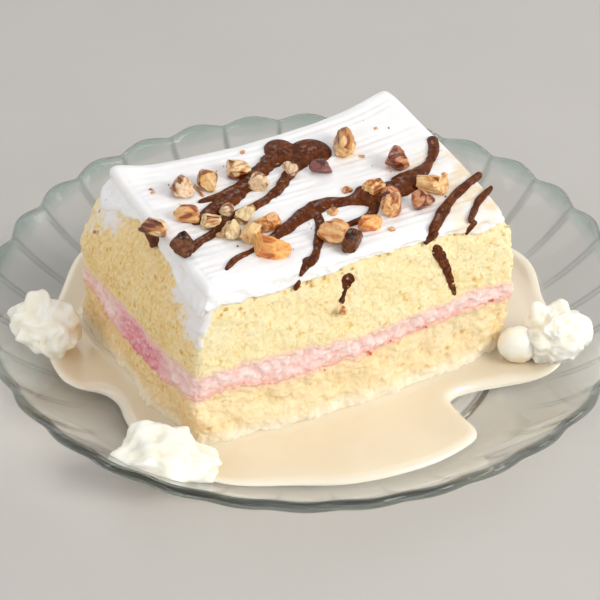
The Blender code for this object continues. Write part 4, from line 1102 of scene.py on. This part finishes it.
def rope(stops, rise, place_at, step=0.6, around=18, seed=0.0):
    """Points and faces of a stroke; place_at turns a spot and a height into points."""
    route, goals, total = smooth_route(stops, step)
    along = np.gradient(route[:, :2], axis=0)
    along /= np.linalg.norm(along, axis=1, keepdims=True)
    across = np.stack([-along[:, 1], along[:, 0]], -1)
    wander = lumps(np.stack([goals, goals * 0 + seed, goals * 0], -1), 4.5)
    quick = lumps(np.stack([goals, goals * 0 + seed, goals * 0], -1), 1.6, 3.0)
    width = route[:, 2] * DRIZZLE_SPREAD * (1 + 0.22 * wander + 0.14 * quick)
    reach = np.minimum(goals, total - goals) + 0.12
    end = np.sqrt(np.clip(1 - (1 - np.minimum(reach / (width / 2 + 0.3), 1)) ** 2, 0.02, 1))
    tall = rise * np.minimum(1.5, 0.45 + route[:, 2] / 8.0) * (1 + 0.18 * wander)
    points = []
    for turn in np.linspace(0, 2 * np.pi, around, endpoint=False):
        spot = route[:, :2] + across * (width / 2 * end * math.cos(turn))[:, None]
        high = math.sin(turn)
        up = np.where(high > 0, tall * end * abs(high) ** 0.8, high)
        points.append(place_at(spot, up))
    points = np.stack(points, 1)
    faces = [face[::-1] for face in rings_to_faces(len(route), around)]
    faces += [tuple(range(around)), tuple(range((len(route) - 1) * around, len(route) * around))[::-1]]
    return points.reshape(-1, 3), faces


def blob(x, y, half_x, half_y, rise):
    """A round heap of chocolate that stands on the icing."""
    ways, faces = round_ball(40, 20)
    middle = np.array([x, y, float(icing_height(x, y)) - BLOB_SINKS])
    return middle + ways * (half_x, half_y, rise), faces


def gather(shapes):
    """Several closed shapes as one list of points and faces."""
    points, faces, first = [], [], 0
    for shape_points, shape_faces in shapes:
        points.append(shape_points)
        faces += [tuple(i + first for i in face) for face in shape_faces]
        first += len(shape_points)
    return np.concatenate(points), faces


def melt(piece, voxel, soften_times):
    """Melts overlapping shapes into one skin and smooths it."""
    remesh = piece.modifiers.new("melt", "REMESH")
    remesh.mode = "VOXEL"
    remesh.voxel_size = voxel * MM
    smooth = piece.modifiers.new("soften", "SMOOTH")
    smooth.factor = 0.5
    smooth.iterations = soften_times
    graph = bpy.context.evaluated_depsgraph_get()
    mesh = bpy.data.meshes.new_from_object(piece.evaluated_get(graph))
    piece.modifiers.clear()
    piece.data = mesh
    mesh.shade_smooth()
    return piece


print(len(STROKES), "strokes,", len(BLOBS), "blobs and", len(FRONT_DRIPS), "drips")

# %% Chocolate's finish and the drizzle
dark = Finish("dark_chocolate")
streak = dark.cloud(3.0, detail=4.0)
grain = dark.cloud(0.5, detail=3.0)
tone = dark.mix(streak.step(0.35, 0.7), "#562609", "#763C14")
tone = dark.mix(dark.cloud(1.2, detail=2.0, shift=0.4).step(0.56, 0.7) * 0.7, tone, "#8E5430")
wet = dark.cloud(1.6, detail=2.0, shift=0.9).step(0.48, 0.64)
dark.surface(Base_Color=tone, Roughness=0.5, Coat_Weight=wet * 0.8, Coat_Roughness=0.07,
             Specular_IOR_Level=0.12, Subsurface_Weight=0.05, Subsurface_Scale=0.0005,
             Normal=dark.bump(grain * 1.6 + streak * 0.8, 0.5))


def on_icing(spot, up):
    """Puts spots on the icing's top, where x and y say."""
    return np.stack([spot[:, 0], spot[:, 1],
                     icing_height(spot[:, 0], spot[:, 1]) - COMB_RELIEF - 0.1 + up], -1)


def on_hem(side):
    """Puts spots on the icing's side: millimetres along the side, and a height."""
    def place_at(spot, up):
        past_shoulder = np.clip(spot[:, 1] - ICING_HEIGHT + ICING_SHOULDER, 0, ICING_SHOULDER)
        curve = ICING_SHOULDER - np.sqrt(ICING_SHOULDER ** 2 - past_shoulder ** 2)
        x, y = outline(side + spot[:, 0] / SIDE_LENGTHS[side], spot[:, 1], ICING_PROUD - 0.2 - curve)
        return np.stack([x + OUTWARD[side][0] * up, y + OUTWARD[side][1] * up, spot[:, 1]], -1)
    return place_at


shapes = [rope(route, DRIZZLE_RISE, on_icing, seed=7.0 * k) for k, route in enumerate(STROKES.values())]
shapes += [blob(*sizes) for sizes in BLOBS]
shapes += [rope(route, HEM_RISE, on_hem(side), step=0.3, seed=3.0 * side) for side, route in HEM_STROKES]
drizzle = melt(loose_piece("chocolate_drizzle", *gather(shapes), dark), 0.3, 3)
hang(drizzle, ["icing"])


def on_front(spot, up):
    """Puts spots on the sponge's front face: x and height; the grains roughen their tops."""
    y = outline((spot[:, 0] - FRONT_START) / FRONT_LENGTH, spot[:, 1])[1]
    points = np.stack([spot[:, 0], y, spot[:, 1]], -1)
    rough = 0.9 * lumps(points, 1.3, 3.0) + 0.6 * lumps(points, 0.7, 8.0)
    points[:, 1] -= crumb(points, UPPER_CRUMB) + np.where(up > 0, up + rough, up)
    return points


drips = [rope(route, DRIP_RISE, on_front, step=0.35, seed=3.0 * k) for k, route in enumerate(FRONT_DRIPS)]
front_drips = melt(loose_piece("chocolate_drips", *gather(drips), dark), 0.25, 1)
hang(front_drips, ["sponge_upper"])

# %% [markdown]
# ## Chopped pecans
#
# A chopped nut is a piece of a lobed, thin-skinned kernel with a few flat broken
# faces.  Each piece starts as a rounded block with the kernel's ridges along it.
# Then planes chop it: points past a plane are pressed back to it.  Where a plane
# cut, the pale flesh shows, and elsewhere the brown skin stays; the share of skin
# is painted on the points, so that colour and shape agree.

# %% Places and tones of the pieces
PECANS = (                     # x, y, length, width, height, turn, tone
    (-34.3, 17.6, 8.0, 6.0, 5.6, -80, "tan"), (-25.3, 17.4, 6.6, 6.0, 5.8, 60, "golden"),
    (-14.2, 19.6, 7.0, 6.4, 6.0, 10, "banded"), (-11.6, 10.4, 5.8, 5.6, 5.0, 30, "tan"),
    (0.8, 13.4, 5.4, 4.2, 4.0, 70, "tan"), (9.4, 9.2, 6.2, 4.6, 4.4, -20, "mahogany"),
    (-38.3, 4.2, 7.2, 5.0, 4.8, -35, "amber"), (-50.2, 1.9, 8.6, 6.4, 5.8, -50, "banded"),
    (-46.4, -10.4, 9.2, 6.0, 6.2, 75, "dipped"), (-26.4, 0.8, 4.8, 4.0, 3.6, 20, "tan"),
    (-22.4, -3.4, 6.0, 5.4, 5.0, 50, "olive"), (-17.8, -9.6, 7.0, 5.4, 5.0, 15, "amber"),
    (-32.8, -2.4, 6.0, 4.2, 3.6, -15, "banded"), (-29.8, -9.4, 6.0, 5.4, 4.8, 65, "olive"),
    (-24.8, -13.8, 5.8, 5.8, 6.4, 40, "golden"), (-22.6, -22.2, 10.6, 6.4, 6.2, -52, "orange"),
    (21.5, 17.0, 11.0, 6.0, 6.0, 65, "golden"), (32.6, 2.8, 7.4, 7.0, 6.0, 0, "russet"),
    (18.6, -8.2, 6.6, 5.0, 5.0, 20, "golden"), (22.6, -12.4, 6.0, 4.8, 4.4, -50, "russet"),
    (19.8, -18.6, 6.4, 5.5, 5.4, 60, "amber"), (35.8, -13.8, 8.6, 7.2, 6.4, -55, "golden"),
    (29.4, -19.9, 6.6, 5.8, 5.0, 10, "russet"), (10.2, -24.0, 6.8, 4.6, 4.2, -25, "orange"),
    (-2.2, -25.0, 8.2, 6.8, 6.2, -60, "amber"), (1.0, -30.3, 7.2, 5.0, 5.2, 50, "dipped"),
)
NUT_TONES = {                  # flesh, edge of the flesh, skin
    "tan": ("#ECCFA8", "#BF8A5C", "#80492A"), "golden": ("#F4CC8E", "#D2903F", "#8C4A1C"),
    "banded": ("#F6DBA8", "#BA7436", "#682A10"), "amber": ("#F0C084", "#CA7A34", "#954C1C"),
    "olive": ("#EAD3A2", "#C29862", "#8E5E34"), "orange": ("#F8B868", "#E68C38", "#BC601E"),
    "russet": ("#DFA070", "#9C4E28", "#5E2410"), "mahogany": ("#8E5048", "#6A3430", "#4A201C"),
    "dipped": ("#805034", "#4C2818", "#381C12"),
}
PECAN_STANDS = 0.42              # share of its height above the icing's crest
PECAN_PLUMP = 1.12
PECAN_SINKS = 0.35
print(len(PECANS), "pieces in", len(NUT_TONES), "tones")


# %% Shape of one piece
def ball(fineness):
    """Points and faces of an even ball, made once and used for every nut."""
    mesh = bpy.data.meshes.new("ball")
    builder = bmesh.new()
    bmesh.ops.create_icosphere(builder, subdivisions=fineness, radius=1.0)
    builder.to_mesh(mesh)
    builder.free()
    return np.array([v.co[:] for v in mesh.vertices]), [tuple(p.vertices) for p in mesh.polygons]


def nut_shape(seed, half, ball_shape):
    """A chopped kernel that fills a box of half sizes, with its skin and fibres painted."""
    draw = np.random.default_rng(seed)
    ways, faces = ball_shape
    blocky = draw.uniform(2.3, 3.0)
    reach = (np.abs(ways) ** blocky).sum(1) ** (-1 / blocky)
    around = np.arctan2(ways[:, 2], ways[:, 1]) + 0.6 * lumps(ways, 0.9, seed + 1.0)
    ridge = 0.10 * np.cos(3 * around + draw.uniform(0, 6)) + 0.03 * np.cos(8 * around + draw.uniform(0, 6))
    points = ways * (reach * (1 + ridge * (1 - ways[:, 0] ** 2)))[:, None]
    points *= 1 + 0.16 * lumps(ways, 0.8, seed * 1.37)[:, None]
    crease = np.exp(-((points[:, 1] - draw.uniform(-0.3, 0.3)) / 0.14) ** 2) * (points[:, 2] > 0)
    points[:, 2] -= 0.3 * crease * smooth_step(lumps(ways, 1.0, seed + 3.0), -0.2, 0.3)
    peel = smooth_step(lumps(ways, 0.9, seed + 8.0), -0.3, 0.0)
    chops = [(1, 0, 0.25), (-1, 0, 0.3)] + [tuple(draw.normal(size=3)) for _ in range(3)]
    for chop in chops:
        way = np.array(chop, float) + draw.normal(size=3) * 0.35
        way /= np.linalg.norm(way)
        past = points @ way - draw.uniform(0.55, 0.8) + 0.09 * lumps(points, 0.4, seed + 5.0)
        soft_past = 0.035 * np.logaddexp(0.0, past / 0.035)
        points -= way * (soft_past * 0.9)[:, None]
        peel = peel * (1 - smooth_step(past, -0.05, 0.12))
    points *= 1 + (0.03 * lumps(points, 0.33, seed + 2.0) + 0.012 * lumps(points, 0.15, seed))[:, None]
    points /= np.abs(points).max(0) / 1.08
    fibre = lumps(points * (0.35, 1.5, 1.5), 0.45, seed + 4.0)
    return points * half, faces, {"skin": peel, "fibre": np.clip(0.5 + 0.8 * fibre, 0, 1)}


nut_ball = ball(5)
small_ball = ball(3)
print("a nut has", len(nut_ball[1]), "faces")


# %% Finish of each tone
def nut_finish(tone_name):
    """Pale granular flesh, a darker rim where skin begins, and glossy skin."""
    flesh, rim, skin_tone = NUT_TONES[tone_name]
    nut = Finish("pecan_" + tone_name)
    skin_share = nut.painted("skin")
    mottle = nut.cloud(1.6, detail=3.0)
    fibre = nut.painted("fibre")
    tone = nut.mix((mottle * 0.7 + fibre * 0.8 - 0.3).step(0.0, 0.55), rim, flesh)
    tone = nut.mix((skin_share + mottle * 0.9 - 0.5).step(0.1, 0.5) * 0.8, tone, rim)
    bark = nut.mix(fibre.step(0.35, 0.8), skin_tone, rim)
    tone = nut.mix((skin_share + mottle * 0.9 - 0.45).step(0.45, 0.85), tone, bark)
    crack = (fibre - 0.5).apply("ABSOLUTE").step(0.05, 0.0)
    tone = nut.mix(crack * 0.5, tone, skin_tone)
    wet = tone_name == "dipped"
    sheen = nut.cloud(1.6, detail=2.0, shift=0.9).step(0.5, 0.62) * 0.9 if wet else 0.35
    nut.surface(
        Base_Color=tone, Roughness=0.5 if wet else 0.42 - 0.2 * skin_share, Coat_Weight=sheen,
        Coat_Roughness=0.05 if wet else 0.12, Specular_IOR_Level=0.12 if wet else 0.5,
        Subsurface_Weight=0.15, Subsurface_Scale=0.0006, Subsurface_Radius=(1.0, 0.55, 0.25),
        Normal=nut.bump(nut.cloud(0.35, detail=3.0) + fibre * 0.5, 0.4 if wet else 0.2))
    return nut


nut_finishes = {tone_name: nut_finish(tone_name) for tone_name in NUT_TONES}
print("nut finishes:", ", ".join(nut_finishes))

# %% Scatter the pieces where the photo shows them
for number, (x, y, length, width, height, turn, tone_name) in enumerate(PECANS):
    half = np.array([length, width, height]) / 2 * PECAN_PLUMP
    points, faces, painted = nut_shape(11 + number, half, nut_ball)
    stand = float(icing_height(x, y)) + height * PECAN_STANDS
    points = spin(points, math.radians(turn)) + (x, y, stand)
    ground = icing_height(points[:, 0], points[:, 1]) - COMB_RELIEF - PECAN_SINKS
    points[:, 2] = np.maximum(points[:, 2], ground)
    node = f"pecan_{number + 1:02d}"
    make_piece(node + "_nut", points, faces, nut_finishes[tone_name], [node], "pecan", painted)

# %% Small bits of nut stuck in the icing
CRUMB_BITS = (                 # x, y, size
    (3.4, -11.9, 1.9), (12.3, -3.3, 1.6), (-32.3, -8.1, 1.7), (-42.0, 23.6, 0.7), (44, -8, 1.0),
    (25, 12, 0.9), (-42, 22, 0.9), (-8, 30, 0.9), (36, 24, 0.9), (15.6, -27.4, 1.2),
)
DRIP_BIT = ((-5.4, -36.9, 43.6), (1.3, 1.0, 1.7))       # at the end of the middle drip
SLIVER = ((-29.1, 16.9, float(icing_height(-29.1, 16.9)) - 0.2), (0.7, 3.9, 0.6))


def nut_bit(seed, place, half):
    """Points, faces and paint of a small bit of nut."""
    points, faces, painted = nut_shape(seed, np.array(half), small_ball)
    return points + place, faces, painted


bits = [nut_bit(70 + number, (x, y, float(icing_height(x, y)) - COMB_RELIEF + size * 0.3),
                (size, size * 0.8, size * 0.7)) for number, (x, y, size) in enumerate(CRUMB_BITS)]
bits += [nut_bit(91, *DRIP_BIT), nut_bit(95, *SLIVER)]
bit_paint = {label: np.concatenate([bit[2][label] for bit in bits]) for label in ("skin", "fibre")}
make_piece("nut_bits", *gather([bit[:2] for bit in bits]), nut_finishes["amber"], ["icing"],
           "pecan", bit_paint)

# %% [markdown]
# ## Whipped cream
#
# Spoonfuls of whipped cream are soft heaps with folds and pulled-up tips.  Each is
# a ball that lobes pull outwards, as in the solid, with sharper folds on top:
# ridged noise, whose place is bent by a second noise, so that the folds curl.
# Rays that would leave through the glass stop just inside its skin.

# %% Heaps of cream
VIEW_TURN = math.radians(-25.4)
GLASS_LAP = 0.15
CREAMS = {                     # middle, half sizes, lobes: turn, tilt, extra reach, width
    "cream_left": ((-79.0, 28.4, 14.5), (10.0, 8.8, 8.2), (
        (205, 5, 0.14, 0.25), (150, 30, 0.20, 0.12), (95, 62, 0.38, 0.05),
        (20, 25, 0.15, 0.25), (-60, -5, 0.10, 0.30), (262, 10, -0.14, 0.12),
        (118, 70, 0.30, 0.02))),
    "cream_front": ((-69.0, -44.3, 12.0), (13.0, 8.6, 8.4), (
        (180, 0, 0.18, 0.10), (215, -5, 0.28, 0.10), (118, 52, 0.50, 0.05),
        (66, 58, 0.40, 0.06), (0, 5, 0.12, 0.20), (-62, 0, 0.14, 0.14),
        (255, 12, -0.18, 0.10), (92, 60, -0.16, 0.04), (-18, -12, 0.18, 0.05))),
    "cream_right": ((66.2, -44.2, 15.0), (8.8, 8.4, 8.6), (
        (12, 22, 0.24, 0.06), (150, 48, 0.34, 0.06), (68, 52, 0.22, 0.08),
        (190, -6, 0.18, 0.12), (-40, -8, 0.14, 0.20), (255, 10, -0.14, 0.08),
        (40, 40, -0.12, 0.04))),
    "cream_ball": ((55.0, -40.6, 13.0), (6.5, 5.3, 6.1), ((200, 10, 0.06, 0.5),)),
}
CREAM_RIPPLE = 0.24
CREAM_FOLDS = 2.4
BALL_MESH = (0.05, 120, 64)    # share of the folds, columns, rows
HEAP_MESH = (1.0, 210, 112)
HALVINGS = 22


def folds(ways, seed):
    """Curling folds: crests where the bent noise passes nought."""
    bend = np.stack([lumps(ways, 0.8, seed + k * 3.1) for k in range(3)], -1) * 0.55
    wide = 1 - np.abs(lumps(ways + bend, 0.62, seed)) * 2.6
    fine = 1 - np.abs(lumps(ways + bend * 0.8, 0.3, seed + 9.0)) * 2.6
    return 0.12 * np.clip(wide, -1, 1) + 0.035 * np.clip(fine, -1, 1)


def cream_heap(name, fold_share, around, up):
    """Points and faces of one spoonful, and how deep each point lies between folds."""
    middle, half_sizes, lobes = CREAMS[name]
    ways, faces = round_ball(around, up)
    ripple = np.array([noise.noise(Vector(w) * CREAM_FOLDS + Vector(middle)) for w in ways.tolist()])
    curls = folds(ways, middle[0])
    reach = 1.0 + CREAM_RIPPLE * ripple * min(1.0, 0.1 + fold_share) + fold_share * curls
    for lobe_turn, lobe_tilt, extra, width in lobes:
        lobe_turn, lobe_tilt = math.radians(lobe_turn), math.radians(lobe_tilt)
        lobe = np.array([math.cos(lobe_turn) * math.cos(lobe_tilt),
                         math.sin(lobe_turn) * math.cos(lobe_tilt), math.sin(lobe_tilt)])
        reach = reach + extra * np.exp((ways @ lobe - 1.0) / width)
    out = spin(ways * reach[:, None] * half_sizes, VIEW_TURN)
    share = np.ones(len(out))
    low, high = np.zeros(len(out)), np.ones(len(out))
    for _ in range(HALVINGS):
        points = np.array(middle) + out * share[:, None]
        rests = points[:, 2] >= glass_top(points[:, 0], points[:, 1]) - GLASS_LAP
        low, high = np.where(rests, share, low), np.where(rests, high, share)
        share = np.where(low == 1.0, 1.0, (low + high) / 2)
    points = np.array(middle) + out * low[:, None]
    return points, faces, np.clip(0.5 - curls * 4, 0, 1)


whipped = Finish("whipped_cream")
cloudy = whipped.cloud(6.0, detail=2.0)
tone = whipped.mix(cloudy.step(0.3, 0.7), "#FFFAEE", "#FBF3E2")
milk_share = (whipped.painted("milky") * 1.2 + cloudy - 0.7).step(0.1, 0.8)
tone = whipped.mix(milk_share * 0.8, tone, "#F2DFBA")
# painted shade in the hollows between the folds
tone = whipped.mix(whipped.painted("hollow_shade") * 0.2, tone, "#F6EFDF")
whipped.surface(Base_Color=tone, Roughness=0.38, Subsurface_Weight=0.7, Subsurface_Scale=0.003,
                Subsurface_Radius=(1.0, 0.92, 0.8), Specular_IOR_Level=0.4,
                Normal=whipped.bump(whipped.cloud(1.1, detail=3.0), 0.10))

# %% Spoon out the cream
MILK_STAINS = {                # middle, and how far the milk soaked in
    "cream_left": ((-69.5, 24.5, 13.5), 8.5), "cream_front": ((-57.0, -48.0, 8.0), 3.5),
    "cream_right": ((60.5, -43.0, 11.0), 3.5), "cream_ball": ((54.0, -41.0, 7.5), 7.5),
}
for name in CREAMS:
    points, faces, hollow_shade = cream_heap(name, *(BALL_MESH if name == "cream_ball" else HEAP_MESH))
    middle, size = MILK_STAINS[name]
    stained = np.exp(-((points - middle) ** 2).sum(1) / size ** 2)
    heap = make_piece(name + "_heap", points, faces, whipped, [name], "whipped_cream",
                      {"hollow_shade": hollow_shade, "milky": stained})
    face_outwards(heap.data)

# %% [markdown]
# ## The pool of sweet milk
#
# The milk lies level near the slice and clings to the glass in a film further
# out.  It wets the sponge, so its skin turns up a little there, and ends in a
# round lip on the glass.  Its underside reaches just into the glass: between milk
# and glass there is no air, and a gap would show as a mirror.

# %% The pool's edge
MILK_FILM = 1.5
MILK_CLIMB = 0.75
MILK_LIP = 3.0
POOL_FOOT_HEIGHT = 5.0
POOL_INSIDE_SPONGE = -1.2
POOL_EDGE = (                  # turn in degrees, radius
    (-134, 77.5), (-119, 72.4), (-104, 73.0), (-86, 73.4), (-73, 73.2), (-67.5, 70.5),
    (-65.0, 62.5), (-61, 55.0), (-54, 57.5), (-46.5, 67.0), (-41, 80.5), (-32, 83.0),
    (-14, 79.0), (5, 81.5), (40, 79.0), (75, 75.0), (105, 78.0), (125, 84.0), (142, 82.0),
    (160, 83.0), (171, 81.5), (175.5, 78.0), (178.5, 70.0), (184, 67.4), (191, 69.5),
    (199, 72.0), (214, 76.0),
)
pool_counts = [240, 160, 240, 160]


def pool_rings():
    """The slice's foot, and for each of its points the matching point of the edge."""
    place = places(pool_counts)
    foot, _ = skin(place, np.full(place.shape, POOL_FOOT_HEIGHT), POOL_INSIDE_SPONGE, 5)
    stops = np.array([(r * math.cos(math.radians(a)), r * math.sin(math.radians(a)))
                      for a, r in POOL_EDGE])
    beside = (np.roll(stops, shift, axis=0) for shift in (1, 0, -1, -2))
    fine = np.concatenate([smooth_curve(*four, 60) for four in zip(*beside)])
    corners = np.stack(outline(np.arange(4.0), POOL_FOOT_HEIGHT), -1)
    first = math.atan2(corners[0, 1], corners[0, 0])
    turns = (np.arctan2(fine[:, 1], fine[:, 0]) - first) % (2 * math.pi)
    ends = list((np.arctan2(corners[:, 1], corners[:, 0]) - first) % (2 * math.pi)) + [2 * math.pi]
    order = np.argsort(turns, kind="stable")
    fine, turns = fine[order], turns[order]
    edge = []
    for side, count in enumerate(pool_counts):
        run = fine[(turns >= ends[side]) & (turns <= ends[side + 1])]
        length = np.concatenate([[0], np.cumsum(np.hypot(*np.diff(run, axis=0).T))])
        goals = length[-1] * (np.arange(count) + 0.5) / count
        edge.append(np.stack([np.interp(goals, length, run[:, k]) for k in (0, 1)], -1))
    edge = np.concatenate(edge)
    edge = np.stack([soften(edge[:, 0], 3), soften(edge[:, 1], 3)], -1)
    return foot[:, :2], edge


pool_foot, pool_rim = pool_rings()
print("pool is", round(float(np.ptp(pool_rim[:, 0]))), "by", round(float(np.ptp(pool_rim[:, 1]))), "mm")

# %% Pour the milk
TOP_SHARES = np.concatenate([np.linspace(0, 0.12, 10), np.linspace(0.12, 0.8, 26)[1:],
                             1 - 0.2 * (1 - np.linspace(0, 1, 30)[1:]) ** 1.6])
UNDER_SHARES = (0.97, 0.9, 0.7, 0.4, 0.0)


def milk_top(x, y, from_foot, from_rim):
    """Height of the milk's skin."""
    glass = glass_top(x, y)
    film = glass + MILK_FILM
    surface = (POOL_LEVEL + film + np.sqrt((POOL_LEVEL - film) ** 2 + 0.25)) / 2 - 0.1
    spot = np.stack([x, y, np.zeros(x.shape)], -1)
    surface = surface + 0.10 * lumps(spot, 16.0) + MILK_CLIMB * np.exp(-from_foot / 1.1)
    lip = np.sqrt(np.clip(1 - (1 - np.clip(from_rim / MILK_LIP, 0, 1)) ** 2, 0, 1))
    return (glass - GLASS_LAP) + (surface - (glass - GLASS_LAP)) * lip


rings, near_rim = [], []
span = pool_rim - pool_foot
gap = np.hypot(span[:, 0], span[:, 1])
for share in TOP_SHARES:
    spot = pool_foot + span * share
    to_rim = np.array([np.hypot(*(pool_rim - p).T).min() for p in spot]) if share < 1 else gap * 0
    z = milk_top(spot[:, 0], spot[:, 1], np.maximum(gap * share - 1.4, 0.0), to_rim)
    rings.append(np.column_stack([spot, z]))
    near_rim.append(to_rim)
for share in UNDER_SHARES:
    spot = pool_foot + span * share
    rings.append(np.column_stack([spot, glass_top(spot[:, 0], spot[:, 1]) - GLASS_LAP]))
    near_rim.append(gap * (1 - share))
count = len(pool_foot)
pool_faces = [face[::-1] for face in rings_to_faces(len(rings), count)]
last = (len(rings) - 1) * count
pool_faces += [(last + i, last + (i + 1) % count, (i + 1) % count, i)[::-1] for i in range(count)]
near_rim = np.concatenate(near_rim)

milk = Finish("sweet_milk")
swirl = milk.cloud(16.0, detail=3.0)
tone = milk.mix(swirl.step(0.3, 0.7), "#E9DBBE", "#ECDFC5")
tone = milk.mix(milk.painted("painted_shade") * 0.8, tone, "#D5CAB4")      # painted shade: the milk turns greyer towards the right
tone = milk.mix(milk.painted("rim"), tone, "#F5EDDC")
milk.surface(Base_Color=tone, Roughness=0.16, Coat_Weight=0.3, Coat_Roughness=0.08,
             Subsurface_Weight=0.3, Subsurface_Scale=0.002, Subsurface_Radius=(1.0, 0.85, 0.6),
             Normal=milk.bump(milk.cloud(5.0, detail=2.0), 0.05))
pool_points = np.concatenate(rings)
pool = make_piece("sweet_milk_pool", pool_points, pool_faces, milk, ["milk_pool"], "milk", {
    "rim": 0.85 * np.exp(-near_rim / 2.2), "painted_shade": smooth_step(pool_points[:, 0], 5, 45)})
print("milk holds", round(face_outwards(pool.data) * 1e6, 1), "cm3")

# %% [markdown]
# ## Crumbs and specks
#
# The knife left golden crumbs along the icing's hem, nut dust fell on the icing,
# and bits of red jam show at the filling's lower edge.  One recipe scatters them
# all: it draws points on a strip, puts a small lumpy crumb on each, and turns and
# sizes it at random from a fixed seed.

# %% The scatter recipe in Geometry Nodes
scatter_inputs = {"Density": "Float", "Size Min": "Float", "Size Max": "Float", "Seed": "Int",
                  "Crumb": "Material"}
sower, given = new_recipe("scattered_crumbs", scatter_inputs)
spots = sower.value("GeometryNodeDistributePointsOnFaces", None, {
    "Mesh": given["Geometry"], "Density": given["Density"], "Seed": given["Seed"]})
round_crumb = sower.value("GeometryNodeMeshIcoSphere", None, {"Radius": 1.0, "Subdivisions": 3})
knobs = sower.value("ShaderNodeTexNoise", None, {"Scale": 1.3, "Detail": 1.0}, "Color")
bumped = sower.value("ShaderNodeVectorMath", {"operation": "SUBTRACT"}, {0: knobs, 1: (0.5, 0.5, 0.5)})
bumped = sower.value("ShaderNodeVectorMath", {"operation": "MULTIPLY"}, {0: bumped, 1: (1.6, 1.6, 1.6)})
crumb_shape = sower.value("GeometryNodeSetPosition", None, {"Geometry": round_crumb, "Offset": bumped})
size = sower.value("FunctionNodeRandomValue", {"data_type": "FLOAT"},
                   {2: given["Size Min"], 3: given["Size Max"], 8: given["Seed"]}, 1)
turn = sower.value("FunctionNodeRandomValue", {"data_type": "FLOAT_VECTOR"},
                   {0: (0.0, 0.0, 0.0), 1: (6.28, 6.28, 6.28), 8: given["Seed"]}, 0)
sown = sower.value("GeometryNodeInstanceOnPoints", None, {
    "Points": spots, "Instance": crumb_shape, "Rotation": turn, "Scale": size})
end_recipe(sower, sower.value("GeometryNodeSetShadeSmooth", None, {"Geometry": sown}), given["Crumb"])
print("scatter recipe has", len(sower.tree.nodes), "nodes")


# %% Where the crumbs lie
PER_SQUARE_CENTIMETRE = 10000.0


def strip(start, end, low, high, grow, steps=120):
    """A band on the slice's side between two heights, from one place to another."""
    place = np.linspace(start, end, steps)
    points = np.concatenate([np.stack([*outline(place, height(place), grow), height(place)], -1)
                             for height in (low, high)])
    return points, [(i, i + 1, steps + i + 1, steps + i) for i in range(steps - 1)]


def scatter(name, surface, density, sizes, seed, tone, nodes):
    """Crumbs of one kind; density is in crumbs per square centimetre, sizes in mm."""
    crumb_finish = Finish(name)
    mottled = crumb_finish.mix(crumb_finish.cloud(1.5, detail=3.0).step(0.35, 0.65), *tone)
    crumb_finish.surface(Base_Color=mottled, Roughness=0.6)
    piece = loose_piece(name, *surface, crumb_finish)
    run_recipe(piece, sower, {
        "Density": density * PER_SQUARE_CENTIMETRE, "Size Min": sizes[0] * MM,
        "Size Max": sizes[1] * MM, "Seed": seed, "Crumb": crumb_finish.material})
    hang(piece, nodes)


def hem_height(place):
    return read_edge(HANG_EDGE, place)


# a coarse grid that lies just over the combed top, away from its edges
top_spots = patch[20:-20:8, 12:-12:8] + (0.0, 0.0, 0.1)
across, along = top_spots.shape[:2]
top_faces = [(i * along + j, (i + 1) * along + j, (i + 1) * along + j + 1, i * along + j + 1)
             for i in range(across - 1) for j in range(along - 1)]
scatter("nut_dust", (top_spots.reshape(-1, 3), top_faces), 0.6, (0.12, 0.3), 3,
        ("#8A5230", "#5A3018"), ["icing"])
scatter("hem_crumbs", strip(0.04, 1.0, lambda p: hem_height(p) - 1.2, lambda p: hem_height(p) + 0.9, 0.5),
        7.0, (0.3, 0.7), 5, ("#F8DA8E", "#EBBC60"), ["sponge_upper"])
scatter("corner_crumbs", strip(3.05, 3.22, level(44.0), level(54.0), 0.5),
        4.0, (0.3, 0.8), 8, ("#E8BC74", "#B47A3E"), ["sponge_upper"])
scatter("red_bits", strip(0.08, 0.97, lambda p: filling_low(p) - 0.6, lambda p: filling_low(p) + 1.0, 0.7),
        4.0, (0.25, 0.6), 4, ("#E0603C", "#EE8A5C"), ["filling"])
